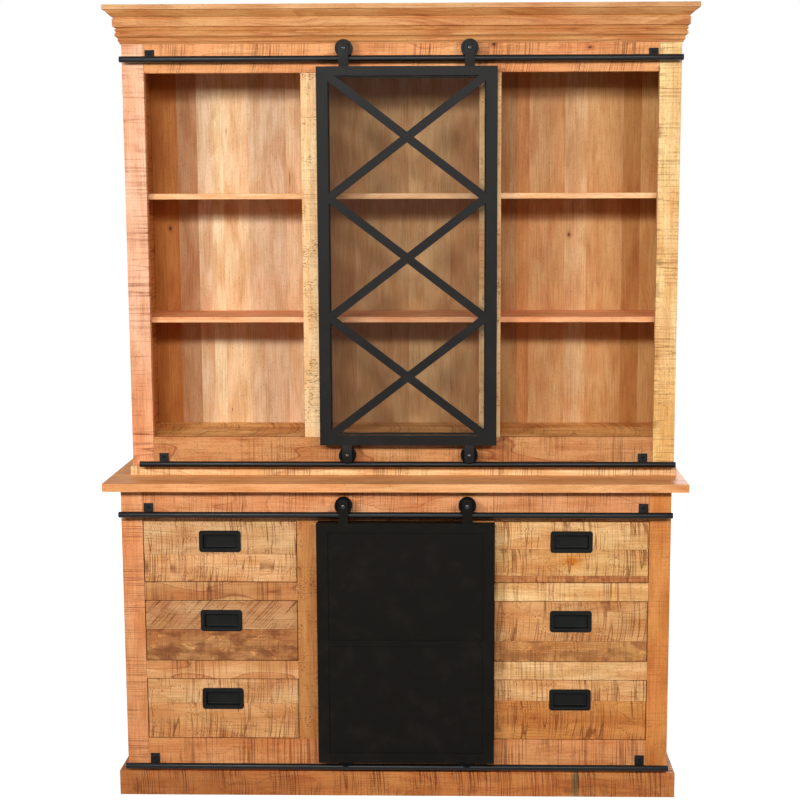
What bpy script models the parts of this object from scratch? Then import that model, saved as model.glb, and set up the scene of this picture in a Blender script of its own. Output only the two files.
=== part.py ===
"""A kitchen dresser in rough-sawn wood and black steel.

The base holds two banks of three drawers with a cupboard between them. A hutch with three bays
of shelves stands on its counter. A steel door hangs on rods in front of each middle bay and
rolls sideways on grooved wheels. Metres, +Z up, front towards -Y, floor at Z = 0.
"""

import math

import bmesh
import bpy
from mathutils import Matrix, Vector

# Fit between pieces
seat = 0.0003  # gap that touching pieces keep
weld = 0.000001  # points nearer than this are one
overrun = 0.003  # of a cut past the face it starts from
drawer_clearance = 0.002  # round a drawer in its opening
door_clearance = 0.0015  # between the parked lower door and the drawer beside it

# Face frame and boards, the same in base and hutch
body_width = 1.460
post_width = 0.057
stile_width = 0.057
frame_thickness = 0.022
side_thickness = 0.020
partition_thickness = 0.018
back_thickness = 0.012

# Base
base_depth = 0.370
plinth_height = 0.068
plinth_thickness = 0.020
bottom_rail_height = 0.085
opening_height = 0.168  # of one drawer
drawer_rail_height = 0.049
top_rail_height = 0.085
floor_thickness = 0.018
web_thickness = 0.012
guide_width = 0.012
guide_height = 0.015
cupboard_shelf_thickness = 0.015
cupboard_shelf_setback = 0.040
counter_thickness = 0.022
counter_overhang = 0.040

# Hutch
hutch_depth = 0.280
hutch_offset = 0.017  # the hutch stands this far right of the middle of the base
hutch_floor_height = 0.104
hutch_floor_thickness = 0.020
lower_cell_height = 0.3067
middle_cell_height = 0.3138
upper_cell_height = 0.3120
shelf_thickness = 0.015
shelf_setback = 0.034
header_height = 0.1585
skirt_height = 0.025
skirt_thickness = 0.006
cap_thickness = 0.013
cap_overhang = 0.040

# Crown moulding, from its top down
moulding_top_reach = 0.034
cove_reach = 0.018
cove_drop = 0.019
fillet_drop = 0.022
groove_drop = 0.005
bead_reach = 0.0125
bead_drop = 0.022
quarter_round_drop = 0.0155

# Drawers
front_thickness = 0.020
box_height = 0.140
drawer_back_gap = 0.0274  # behind a box
box_wall = 0.012
box_bottom = 0.006
pull_width = 0.112
pull_height = 0.059
pull_corner = 0.008
pull_lip = 0.002
pull_drop = 0.0265  # from the top of the drawer opening
cup_width = 0.0893
cup_height = 0.0355
cup_depth = 0.014
cup_wall = 0.001

# Rods and their brackets
rod_radius = 0.008
rod_standoff = 0.028  # from the wood to the middle of the rod
hutch_rod_lift = 0.0335  # over the top of the hutch opening
hutch_low_rod_height = 0.0345  # over the counter
hutch_low_rod_trim = 0.024  # cut short at its left end
base_rod_lift = 0.022  # over the top of the cupboard opening
base_low_rod_height = 0.085  # over the floor
bracket_inset = 0.017  # from the opening to the middle of a bracket
hutch_low_bracket_inset = 0.028
bracket_width = 0.025
bracket_height = 0.026
bracket_thickness = 0.003
screw_radius = 0.005
screw_height = 0.0025

# Doors, welded from steel angle
door_lap = 0.02967  # beyond the middle bay on each side
door_depth = 0.025
sheet = 0.003
side_member = 0.030
top_member = 0.024
bottom_member = 0.027
middle_member = 0.016
middle_member_height = 0.3225  # its lower edge over the door's
door_rod_gap = 0.0127  # between a top rod and the door under it
upper_door_offset = 0.0167  # right of the middle of the hutch
upper_door_wheel_gap = 0.0057  # over its lower wheels
lower_door_rod_gap = 0.0085
cross_bar_width = 0.022
glass_thickness = 0.004
panel_thickness = 0.0015
pane_lap = 0.010  # of glass and panel behind the side members
pane_gap = 0.002  # to the straps over it and the bolts under it
glass_foot_gap = 0.005  # over the lower straps

# Straps, wheels and their bolts
wheel_spacing = 0.326
strap_width = 0.026
strap_thickness = 0.004
strap_root = 0.012  # run of a strap down the frame
wheel_radius = 0.023
flange_reach = 0.0055  # of the flanges below the top of the rod
flange_width = 0.0011
wheel_slot_gap = 0.004
bolt_radius = 0.003
bolt_play = 0.0005
bolt_head_radius = 0.0065
bolt_head_height = 0.003
spacer_radius = 0.006
spacer_length = 0.002
nut_radius = 0.0055
nut_length = 0.004

rod_sides = 16
wheel_sides = 24
small_sides = 12
groove_points = 7
cove_points = 5
drawers_in_bank = 3
crosses = 3

# Colour, roughness, metallic and alpha of each finish
finishes = {
    "amber_wood": ((0.62, 0.33, 0.15), 0.62, 0, 1),
    "golden_wood": ((0.70, 0.42, 0.20), 0.60, 0, 1),
    "pale_wood": ((0.74, 0.50, 0.28), 0.60, 0, 1),
    "reddish_wood": ((0.56, 0.25, 0.13), 0.62, 0, 1),
    "brown_wood": ((0.40, 0.22, 0.11), 0.64, 0, 1),
    "inner_wood": ((0.50, 0.29, 0.14), 0.68, 0, 1),
    "black_steel": ((0.025, 0.025, 0.026), 0.48, 0.7, 1),
    "wheel_steel": ((0.015, 0.015, 0.016), 0.22, 0.8, 1),
    "clear_glass": ((0.85, 0.90, 0.88), 0.05, 0, 0.25),
}
drawer_woods = {
    "left_1": "amber_wood",
    "left_2": "brown_wood",
    "left_3": "golden_wood",
    "right_1": "golden_wood",
    "right_2": "amber_wood",
    "right_3": "brown_wood",
}

# Places across the front, from the middle of base or hutch
bay_width = (body_width - 2 * post_width - 2 * stile_width) / 3
opening_edge = body_width / 2 - post_width
side_face = body_width / 2 - side_thickness
stile_inner = bay_width / 2
stile_outer = stile_inner + stile_width
stile_middle = (stile_inner + stile_outer) / 2
partition_face = stile_middle + partition_thickness / 2
bank_middle = bay_width + stile_width

# Heights in the base, from the floor
drawer_pitch = opening_height + drawer_rail_height
floor_top = plinth_height + bottom_rail_height
cupboard_top = floor_top + drawers_in_bank * drawer_pitch - drawer_rail_height
base_height = cupboard_top + top_rail_height
counter_top_height = base_height + counter_thickness

# Heights in the hutch, from the counter
lower_shelf_height = hutch_floor_height + lower_cell_height
upper_shelf_height = lower_shelf_height + shelf_thickness + middle_cell_height
hutch_opening_top = upper_shelf_height + shelf_thickness + upper_cell_height
hutch_height = hutch_opening_top + header_height
moulding_height = cove_drop + fillet_drop + groove_drop + bead_drop + quarter_round_drop

# Wheels on rods
axle_height = rod_radius + wheel_radius - flange_reach
groove_radius = rod_radius + seat
groove_turn = math.acos((rod_radius - flange_reach) / groove_radius)
wheel_thickness = 2 * (groove_radius * math.sin(groove_turn) + flange_width)
wheel_behind_front = strap_thickness + spacer_length + wheel_thickness / 2
door_front = rod_standoff + wheel_behind_front

# Rods and doors
hutch_rod = hutch_opening_top + hutch_rod_lift
base_rod = cupboard_top + base_rod_lift
door_width = bay_width + 2 * door_lap
window_half = door_width / 2 - side_member
upper_door_bottom = hutch_low_rod_height + axle_height + wheel_radius + upper_door_wheel_gap
upper_door_height = hutch_rod - rod_radius - door_rod_gap - upper_door_bottom
lower_door_bottom = base_low_rod_height + rod_radius + lower_door_rod_gap
lower_door_height = base_rod - rod_radius - door_rod_gap - lower_door_bottom
lower_door_offset = stile_outer + drawer_clearance - door_clearance - door_width / 2
lower_bolt_height = base_low_rod_height + axle_height - lower_door_bottom

# Room behind a drawer front
box_depth = base_depth - back_thickness - front_thickness - drawer_back_gap - 2 * seat

# The two frames that all pieces stand in, so that the whole is centred on the origin
reach_forward = door_front + bolt_head_height
base_front = (reach_forward - base_depth) / 2
hutch_front = base_front + base_depth - hutch_depth


def clear_scene():
    for thing in list(bpy.data.objects):
        bpy.data.objects.remove(thing, do_unlink=True)


def finish(name):
    """The material of that name, made when it is first asked for."""
    made = bpy.data.materials.get(name)
    if made:
        return made
    colour, roughness, metallic, alpha = finishes[name]
    made = bpy.data.materials.new(name)
    made.use_nodes = True
    shader = made.node_tree.nodes["Principled BSDF"]
    shader.inputs["Base Color"].default_value = (*colour, 1)
    shader.inputs["Roughness"].default_value = roughness
    shader.inputs["Metallic"].default_value = metallic
    shader.inputs["Alpha"].default_value = alpha
    made.diffuse_color = (*colour, alpha)
    return made


def new_frame(name, place, parent=None):
    """An empty that pieces are placed from."""
    frame = bpy.data.objects.new(name, None)
    bpy.context.scene.collection.objects.link(frame)
    frame.location = place
    frame.parent = parent
    return frame


def piece(name, mesh, parent, place, coat):
    """A named object for one mesh, coated with one of the finishes."""
    made = bpy.data.objects.new(name, mesh)
    mesh.name = name
    mesh.materials.clear()
    mesh.materials.append(finish(coat))
    bpy.context.scene.collection.objects.link(made)
    made.parent = parent
    made.location = place
    return made


def mesh_of(bm):
    mesh = bpy.data.meshes.new("shape")
    bm.to_mesh(mesh)
    bm.free()
    return mesh


def block(low, high):
    """A box between two opposite corners."""
    low, high = Vector(low), Vector(high)
    bm = bmesh.new()
    place = Matrix.Translation((low + high) / 2) @ Matrix.Diagonal((*(high - low), 1))
    bmesh.ops.create_cube(bm, size=1, matrix=place)
    return mesh_of(bm)


def rod(start, end, radius, sides):
    """A round or many-sided bar between two points."""
    start, end = Vector(start), Vector(end)
    turn = (end - start).to_track_quat("Z", "Y").to_matrix().to_4x4()
    bm = bmesh.new()
    bmesh.ops.create_cone(
        bm,
        cap_ends=True,
        segments=sides,
        radius1=radius,
        radius2=radius,
        depth=(end - start).length,
        matrix=Matrix.Translation((start + end) / 2) @ turn,
    )
    return mesh_of(bm)


def prism(outline, low, high, along="Z"):
    """An outline in the plane across an axis, drawn out along it between two distances."""
    bm = bmesh.new()
    at = "XYZ".index(along)
    ring = []
    for point in outline:
        place = list(point)
        place.insert(at, low)
        ring.append(bm.verts.new(place))
    foot = bm.faces.new(ring)
    drawn = bmesh.ops.extrude_face_region(bm, geom=[foot])["geom"]
    ends = [element for element in drawn if isinstance(element, bmesh.types.BMVert)]
    run = Vector()
    run[at] = high - low
    bmesh.ops.translate(bm, verts=ends, vec=run)
    bmesh.ops.recalc_face_normals(bm, faces=bm.faces)
    return mesh_of(bm)


def turned(profile, place, sides):
    """A closed profile of radius and Y, turned round an axis along Y through a place in X and Z."""
    bm = bmesh.new()
    ring = [bm.verts.new((radius, y, 0)) for radius, y in profile]
    edges = [bm.edges.new((ring[i - 1], ring[i])) for i in range(len(ring))]
    bmesh.ops.spin(
        bm,
        geom=ring + edges,
        cent=(0, 0, 0),
        axis=(0, 1, 0),
        angle=2 * math.pi,
        steps=sides,
        use_merge=True,
    )
    bmesh.ops.remove_doubles(bm, verts=bm.verts, dist=weld)
    bmesh.ops.dissolve_degenerate(bm, edges=bm.edges, dist=weld)
    bmesh.ops.translate(bm, verts=bm.verts, vec=(place[0], 0, place[1]))
    bmesh.ops.recalc_face_normals(bm, faces=bm.faces)
    return mesh_of(bm)


def mirrored(mesh):
    """The same shape on the other side of its X = 0 plane."""
    mesh.transform(Matrix.Diagonal((-1, 1, 1, 1)))
    mesh.flip_normals()
    return mesh


def shaped(solids, cutters=()):
    """One mesh: the solids joined, less the cutters."""
    steps = [("UNION", mesh) for mesh in solids[1:]]
    steps += [("DIFFERENCE", mesh) for mesh in cutters]
    body = bpy.data.objects.new("body", solids[0])
    bpy.context.scene.collection.objects.link(body)
    helpers = []
    for operation, mesh in steps:
        helper = bpy.data.objects.new("helper", mesh)
        bpy.context.scene.collection.objects.link(helper)
        helper.hide_render = True
        helper.display_type = "WIRE"
        helpers.append(helper)
        boolean = body.modifiers.new(operation, "BOOLEAN")
        boolean.operation = operation
        boolean.solver = "EXACT"
        boolean.object = helper
    graph = bpy.context.evaluated_depsgraph_get()
    made = bpy.data.meshes.new_from_object(body.evaluated_get(graph))
    for thing in [body, *helpers]:
        bpy.data.objects.remove(thing, do_unlink=True)
    return made


def rounded(mesh):
    """Smooth shading, with the true corners kept sharp."""
    mesh.shade_smooth()
    mesh.set_sharp_from_angle(angle=math.radians(40))
    return mesh


def side_with_post(height, depth, floor):
    """A side panel and its front post in plan, an L, at the right-hand end."""
    outer = body_width / 2
    outline = [
        (opening_edge, 0),
        (outer, 0),
        (outer, depth),
        (side_face, depth),
        (side_face, frame_thickness),
        (opening_edge, frame_thickness),
    ]
    return prism(outline, floor, height - seat)


def divider(bottom, opening_top, top, depth):
    """A front stile and its partition, a T in plan, which runs on up behind the rail over it."""
    back = depth - back_thickness - seat
    half = partition_thickness / 2
    edge = stile_width / 2
    outline = [
        (-edge, 0),
        (edge, 0),
        (edge, frame_thickness),
        (half, frame_thickness),
        (half, back),
        (-half, back),
        (-half, frame_thickness),
        (-edge, frame_thickness),
    ]
    head_low = (-half, frame_thickness + seat, opening_top - frame_thickness)
    head_high = (half, back, top - seat)
    return [prism(outline, bottom + seat, opening_top - seat), block(head_low, head_high)]


def floor_with_rail(rail_half, rail_low, top, thickness, board_low, board_high, depth):
    """A board with the rail on its front edge, the rail standing between two uprights."""
    back = depth - back_thickness - seat
    behind = frame_thickness + seat
    outline = [
        (-rail_half, 0),
        (rail_half, 0),
        (rail_half, behind),
        (board_high, behind),
        (board_high, back),
        (board_low, back),
        (board_low, behind),
        (-rail_half, behind),
    ]
    rail = block((-rail_half, 0, rail_low), (rail_half, frame_thickness, top - thickness / 2))
    return [prism(outline, top - thickness, top), rail]


def guides(middle, top, thickness):
    """The two strips that a drawer runs between."""
    back = base_depth - back_thickness - seat
    made = []
    for side in (-1, 1):
        near = middle + side * stile_inner
        far = middle + side * (stile_inner + guide_width)
        made.append(
            block(
                (min(near, far), frame_thickness + seat, top - thickness / 2),
                (max(near, far), back, top + guide_height),
            )
        )
    return made


def wrap(reach, gap, depth, low, high):
    """A strip round the front and both ends, standing out from the body."""
    inner = body_width / 2 + gap
    outer = body_width / 2 + reach
    outline = [
        (-outer, -reach),
        (outer, -reach),
        (outer, depth),
        (inner, depth),
        (inner, -gap),
        (-inner, -gap),
        (-inner, depth),
        (-outer, depth),
    ]
    return prism(outline, low, high)


def moulding_profile():
    """The crown moulding's section: how far it stands out, and its height over its foot."""
    top = moulding_height - seat
    cove_foot = moulding_height - cove_drop
    fillet_foot = cove_foot - fillet_drop
    bead_top = fillet_foot - groove_drop
    bead_foot = bead_top - bead_drop
    points = [(seat, 0), (seat, top), (moulding_top_reach, top)]
    for step in range(1, cove_points + 1):
        turn = math.pi / 2 * step / cove_points
        out = moulding_top_reach - (moulding_top_reach - cove_reach) * math.sin(turn)
        points.append((out, top - (top - cove_foot) * (1 - math.cos(turn))))
    groove = bead_reach - groove_drop / 2
    points += [(cove_reach, fillet_foot), (groove, fillet_foot)]
    points += [(groove, bead_top), (bead_reach, bead_top), (bead_reach, bead_foot)]
    for step in range(1, cove_points):
        turn = math.pi / 2 * step / cove_points
        out = groove_drop / 2 + (bead_reach - groove_drop / 2) * math.cos(turn)
        points.append((out, bead_foot * (1 - math.sin(turn))))
    points.append((groove_drop / 2, 0))
    return points


def crown_moulding():
    """The section carried round the front and both ends, mitred at the corners."""
    half = body_width / 2
    bm = bmesh.new()
    loops = []
    for side, at_front in ((-1, False), (-1, True), (1, True), (1, False)):
        ring = []
        for out, height in moulding_profile():
            y = -out if at_front else hutch_depth
            ring.append(bm.verts.new((side * (half + out), y, height)))
        loops.append(ring)
    for first, second in zip(loops, loops[1:]):
        for i in range(len(first)):
            j = (i + 1) % len(first)
            bm.faces.new((first[i], first[j], second[j], second[i]))
    bm.faces.new(loops[0])
    bm.faces.new(loops[-1])
    bmesh.ops.recalc_face_normals(bm, faces=bm.faces)
    return mesh_of(bm)


def track(left, right, inset):
    """A rod with its two screwed brackets, the rod's middle at the origin's height."""
    wood = rod_standoff
    solids = [rod((left, 0, 0), (right, 0, 0), rod_radius, rod_sides)]
    for side in (-1, 1):
        middle = side * (opening_edge - inset)
        plate = wood - seat - bracket_thickness
        half = bracket_thickness / 2
        screw_at = (bracket_height + rod_radius) / 2
        angle = [
            (0, -half),
            (wood - seat, -half),
            (wood - seat, bracket_height),
            (plate, bracket_height),
            (plate, half),
            (0, half),
        ]
        low_x = middle - bracket_width / 2
        solids.append(prism(angle, low_x, low_x + bracket_width, "X"))
        solids.append(
            rod(
                (middle, plate - screw_height, screw_at),
                (middle, plate + half, screw_at),
                screw_radius,
                small_sides,
            )
        )
    return rounded(shaped(solids))


def wheel():
    """A grooved wheel turned round the Y axis, bored for its bolt."""
    half = wheel_thickness / 2
    bore = bolt_radius + bolt_play
    profile = [(bore, -half), (wheel_radius, -half)]
    for step in range(groove_points):
        turn = groove_turn * (2 * step / (groove_points - 1) - 1)
        depth = groove_radius * math.cos(turn)
        profile.append((axle_height - depth, groove_radius * math.sin(turn)))
    profile += [(wheel_radius, half), (bore, half)]
    return rounded(turned(profile, (0, 0), wheel_sides))


def bolt(x, z, head):
    """A bolt through a wheel, with its spacer and its nut. Its head or its weld starts the profile."""
    wheel_front = wheel_behind_front - wheel_thickness / 2
    wheel_back = wheel_behind_front + wheel_thickness / 2
    nut_end = wheel_back + seat + nut_length
    profile = [
        *head,
        (spacer_radius, wheel_front - seat),
        (bolt_radius, wheel_front - seat),
        (bolt_radius, wheel_back + seat),
        (nut_radius, wheel_back + seat),
        (nut_radius, nut_end),
        (0, nut_end),
    ]
    return turned(profile, (x, z), small_sides)


def strap(x, root, end):
    """A flat strap from the frame to past a wheel, with a round end and the wheel's bolt."""
    half = strap_width / 2
    way = 1 if end > root else -1
    outline = [(x - half, root), (x + half, root)]
    for step in range(rod_sides // 2 + 1):
        turn = math.pi * step / (rod_sides // 2)
        outline.append((x + half * math.cos(turn), end + way * half * math.sin(turn)))
    middle = strap_thickness / 2
    head = [
        (0, -bolt_head_height),
        (bolt_head_radius, -bolt_head_height),
        (bolt_head_radius, middle),
        (spacer_radius, middle),
    ]
    return [prism(outline, 0, strap_thickness, "Y"), bolt(x, end, head)]


def lattice_windows(low, high):
    """What is left open between the bars of the crosses, from the window's foot to its head."""
    cell = (high - low) / crosses
    slope = math.atan2(cell, 2 * window_half)
    across = cross_bar_width / 2 / math.sin(slope)
    upright = cross_bar_width / 2 / math.cos(slope)
    openings = []
    for i in range(crosses + 1):
        node = low + cell * i
        outline = [(across - window_half, node)]
        if i > 0:
            outline.append((0, node - cell / 2 + upright))
        outline.append((window_half - across, node))
        if i < crosses:
            outline.append((0, node + cell / 2 - upright))
        openings.append(outline)
    for i in range(crosses):
        foot = low + cell * i + upright
        head = low + cell * (i + 1) - upright
        for side in (-1, 1):
            edge = side * window_half
            tip = side * across
            openings.append([(edge, foot), (tip, (foot + head) / 2), (edge, head)])
    return [prism(outline, -overrun, sheet + overrun, "Y") for outline in openings]


def door_shell(height):
    """The outer box of a door and the pocket that leaves its front and its four edges."""
    half = door_width / 2
    outer = block((-half, 0, 0), (half, door_depth, height))
    pocket = block(
        (sheet - half, sheet, sheet),
        (half - sheet, door_depth + overrun, height - sheet),
    )
    return outer, pocket


def window(low, high):
    """What is cut out of a door's front between its members."""
    return block((-window_half, -overrun, low), (window_half, sheet + overrun, high))


def upper_door_frame():
    """Angle frame with three crosses of flat bar and a strap at each wheel."""
    shell, pocket = door_shell(upper_door_height)
    openings = lattice_windows(bottom_member, upper_door_height - top_member)
    solids = [shaped([shell], [pocket, *openings])]
    for side in (-1, 1):
        x = side * wheel_spacing / 2
        top = hutch_rod + axle_height - upper_door_bottom
        foot = hutch_low_rod_height + axle_height - upper_door_bottom
        solids += strap(x, upper_door_height - strap_root, top)
        solids += strap(x, strap_root, foot)
    return rounded(shaped(solids))


def lower_door_frame():
    """Angle frame with a middle bar, straps on top and wheel bolts behind its bottom member."""
    shell, pocket = door_shell(lower_door_height)
    bar_low, bar_high = middle_member_height, middle_member_height + middle_member
    cutters = [
        pocket,
        window(bottom_member, bar_low),
        window(bar_high, lower_door_height - top_member),
    ]
    slot = wheel_radius + wheel_slot_gap
    for side in (-1, 1):
        x = side * wheel_spacing / 2
        slot_low = (x - slot, sheet, -overrun)
        slot_high = (x + slot, door_depth + overrun, sheet + overrun)
        cutters.append(block(slot_low, slot_high))
    solids = [shaped([shell], cutters)]
    for side in (-1, 1):
        x = side * wheel_spacing / 2
        top = base_rod + axle_height - lower_door_bottom
        solids += strap(x, lower_door_height - strap_root, top)
        root = [(0, sheet / 2), (spacer_radius, sheet / 2)]
        solids.append(bolt(x, lower_bolt_height, root))
    return rounded(shaped(solids))


def pane(low, high, front, thickness):
    """Glass or sheet behind a door's windows."""
    half = window_half + pane_lap
    return block((-half, front, low), (half, front + thickness, high))


def drawer_front():
    """The inset front, cut out for the cup of its pull. The origin is the middle of its face."""
    half_x = bay_width / 2 - drawer_clearance
    half_z = opening_height / 2 - drawer_clearance
    cup_x = cup_width / 2 + cup_wall + seat
    cup_z = cup_height / 2 + cup_wall + seat
    lift = opening_height / 2 - pull_drop - pull_height / 2
    board = block((-half_x, 0, -half_z), (half_x, front_thickness, half_z))
    hole = block(
        (-cup_x, -overrun, lift - cup_z),
        (cup_x, front_thickness + overrun, lift + cup_z),
    )
    return shaped([board], [hole])


def drawer_box():
    """The open box behind a front, which slides on the board under it."""
    half = bay_width / 2 - drawer_clearance
    front = front_thickness + seat
    back = front + box_depth
    low = seat - opening_height / 2
    outer = block((-half, front, low), (half, back, low + box_height))
    hollow = block(
        (box_wall - half, front + box_wall, low + box_bottom),
        (half - box_wall, back - box_wall, low + box_height + overrun),
    )
    return shaped([outer], [hollow])


def cup_pull():
    """A flush pull: a rounded plate with a cup let into the front."""
    bm = bmesh.new()
    size = (pull_width, pull_lip, pull_height)
    place = Matrix.Translation((0, -seat - pull_lip / 2, 0)) @ Matrix.Diagonal((*size, 1))
    bmesh.ops.create_cube(bm, size=1, matrix=place)
    corners = [edge for edge in bm.edges if edge.verts[0].co.y != edge.verts[1].co.y]
    bmesh.ops.bevel(
        bm,
        geom=corners,
        offset=pull_corner,
        offset_type="OFFSET",
        segments=3,
        profile=0.5,
        affect="EDGES",
        material=-1,
    )
    plate = mesh_of(bm)
    half_x, half_z = cup_width / 2, cup_height / 2
    cup_end = cup_depth - pull_lip
    cup = block(
        (-half_x - cup_wall, -seat - pull_lip / 2, -half_z - cup_wall),
        (half_x + cup_wall, cup_end + cup_wall, half_z + cup_wall),
    )
    recess = block((-half_x, -pull_lip - overrun, -half_z), (half_x, cup_end, half_z))
    return rounded(shaped([plate, cup], [recess]))


def build_base(frame):
    half = body_width / 2
    back = base_depth - back_thickness - seat
    side = side_with_post(base_height, base_depth, 0)
    piece("base_side_right", side, frame, (0, 0, 0), "amber_wood")
    piece("base_side_left", mirrored(side.copy()), frame, (0, 0, 0), "reddish_wood")
    for name, way in (("left", -1), ("right", 1)):
        upright = shaped(divider(floor_top, cupboard_top, base_height, base_depth))
        piece(f"base_divider_{name}", upright, frame, (way * stile_middle, 0, 0), "pale_wood")
    rail_half = opening_edge - seat
    top_rail = block((-rail_half, 0, cupboard_top), (rail_half, frame_thickness, base_height - seat))
    piece("base_top_rail", top_rail, frame, (0, 0, 0), "reddish_wood")
    board_half = side_face - seat
    floor = floor_with_rail(
        rail_half,
        plinth_height + seat,
        floor_top,
        floor_thickness,
        -board_half,
        board_half,
        base_depth,
    )
    floor += guides(-bank_middle, floor_top, floor_thickness)
    floor += guides(bank_middle, floor_top, floor_thickness)
    notches = []
    for way in (-1, 1):
        centre = way * stile_middle
        reach = partition_thickness / 2 + seat
        notches.append(
            block(
                (centre - reach, frame_thickness, floor_top),
                (centre + reach, base_depth, floor_top + guide_height + overrun),
            )
        )
    piece("base_floor", shaped(floor, notches), frame, (0, 0, 0), "golden_wood")
    for name, way in (("left", -1), ("right", 1)):
        ends = (partition_face + seat - bank_middle, side_face - seat - bank_middle)
        low, high = ends if way > 0 else (-ends[1], -ends[0])
        for level, place in ((1, "lower"), (2, "upper")):
            rail_top = floor_top + level * drawer_pitch
            web = floor_with_rail(
                stile_inner - seat,
                -drawer_rail_height,
                0,
                web_thickness,
                low,
                high,
                base_depth,
            )
            web += guides(0, 0, web_thickness)
            spot = (way * bank_middle, 0, rail_top)
            piece(f"drawer_web_{name}_{place}", shaped(web), frame, spot, "amber_wood")
    panel = block(
        (-board_half, back + seat, plinth_height),
        (board_half, base_depth, base_height - seat),
    )
    piece("base_back", panel, frame, (0, 0, 0), "inner_wood")
    shelf_half = stile_middle - partition_thickness / 2 - seat
    shelf_at = (floor_top + cupboard_top - cupboard_shelf_thickness) / 2
    shelf = block(
        (-shelf_half, cupboard_shelf_setback, 0),
        (shelf_half, back, cupboard_shelf_thickness),
    )
    piece("cupboard_shelf", shelf, frame, (0, 0, shelf_at), "inner_wood")
    counter_half = half + counter_overhang
    counter = block(
        (-counter_half, -counter_overhang, 0),
        (counter_half, base_depth, counter_thickness),
    )
    piece("counter_top", counter, frame, (0, 0, base_height), "golden_wood")
    plinth = wrap(plinth_thickness, seat, base_depth, 0, plinth_height)
    piece("plinth", plinth, frame, (0, 0, 0), "reddish_wood")


def hutch_shelf():
    """A shelf through all three bays, notched from the front to halve over the partitions."""
    half = side_face - seat
    back = hutch_depth - back_thickness - seat
    crossing = (shelf_setback + back) / 2
    reach = partition_thickness / 2 + seat
    board = block((-half, shelf_setback, 0), (half, back, shelf_thickness))
    notches = []
    for way in (-1, 1):
        centre = way * stile_middle
        notches.append(
            block(
                (centre - reach, shelf_setback - overrun, -overrun),
                (centre + reach, crossing + seat, shelf_thickness + overrun),
            )
        )
    return shaped([board], notches)


def hutch_divider():
    """A stile and partition, the partition notched from behind for the two shelves."""
    back = hutch_depth - back_thickness - seat
    crossing = (shelf_setback + back) / 2
    solids = divider(hutch_floor_height, hutch_opening_top, hutch_height, hutch_depth)
    notches = []
    for height in (lower_shelf_height, upper_shelf_height):
        notches.append(
            block(
                (-partition_thickness, crossing, height - seat),
                (partition_thickness, back + overrun, height + shelf_thickness + seat),
            )
        )
    return shaped(solids, notches)


def build_hutch(frame):
    half = body_width / 2
    side = side_with_post(hutch_height, hutch_depth, seat)
    piece("hutch_side_right", side, frame, (0, 0, 0), "golden_wood")
    piece("hutch_side_left", mirrored(side.copy()), frame, (0, 0, 0), "amber_wood")
    for name, way in (("left", -1), ("right", 1)):
        piece(f"hutch_divider_{name}", hutch_divider(), frame, (way * stile_middle, 0, 0), "pale_wood")
    rail_half = opening_edge - seat
    header = block((-rail_half, 0, 0), (rail_half, frame_thickness, header_height - seat))
    piece("hutch_header", header, frame, (0, 0, hutch_opening_top), "amber_wood")
    board_half = side_face - seat
    floor = floor_with_rail(
        rail_half,
        seat,
        hutch_floor_height,
        hutch_floor_thickness,
        -board_half,
        board_half,
        hutch_depth,
    )
    piece("hutch_floor", shaped(floor), frame, (0, 0, 0), "golden_wood")
    back_face = hutch_depth - back_thickness
    back = block((-board_half, back_face, seat), (board_half, hutch_depth, hutch_height - seat))
    piece("hutch_back", back, frame, (0, 0, 0), "inner_wood")
    piece("shelf_lower", hutch_shelf(), frame, (0, 0, lower_shelf_height), "pale_wood")
    piece("shelf_upper", hutch_shelf(), frame, (0, 0, upper_shelf_height), "pale_wood")
    moulding_at = hutch_height - moulding_height
    piece("crown_moulding", crown_moulding(), frame, (0, 0, moulding_at), "golden_wood")
    cap_half = half + cap_overhang
    cap = block((-cap_half, -cap_overhang, 0), (cap_half, hutch_depth, cap_thickness))
    piece("crown_cap", cap, frame, (0, 0, hutch_height), "golden_wood")
    skirt = wrap(skirt_thickness, seat, hutch_depth, seat, skirt_height)
    piece("hutch_skirt", skirt, frame, (0, 0, 0), "amber_wood")


def build_tracks(base, hutch):
    half = body_width / 2
    trimmed = hutch_low_rod_trim - half
    for name, frame, height, left, inset in (
        ("base_track_top", base, base_rod, -half, bracket_inset),
        ("base_track_bottom", base, base_low_rod_height, -half, bracket_inset),
        ("hutch_track_top", hutch, hutch_rod, -half, bracket_inset),
        ("hutch_track_bottom", hutch, hutch_low_rod_height, trimmed, hutch_low_bracket_inset),
    ):
        piece(name, track(left, half, inset), frame, (0, -rod_standoff, height), "black_steel")


def build_wheels(door, name, heights):
    """Four wheels of a door, each with its origin on its bolt."""
    shape = wheel()
    for row, height in heights:
        for column, way in (("left", -1), ("right", 1)):
            place = (way * wheel_spacing / 2, wheel_behind_front, height)
            piece(f"{name}_wheel_{row}_{column}", shape.copy(), door, place, "wheel_steel")


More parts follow.
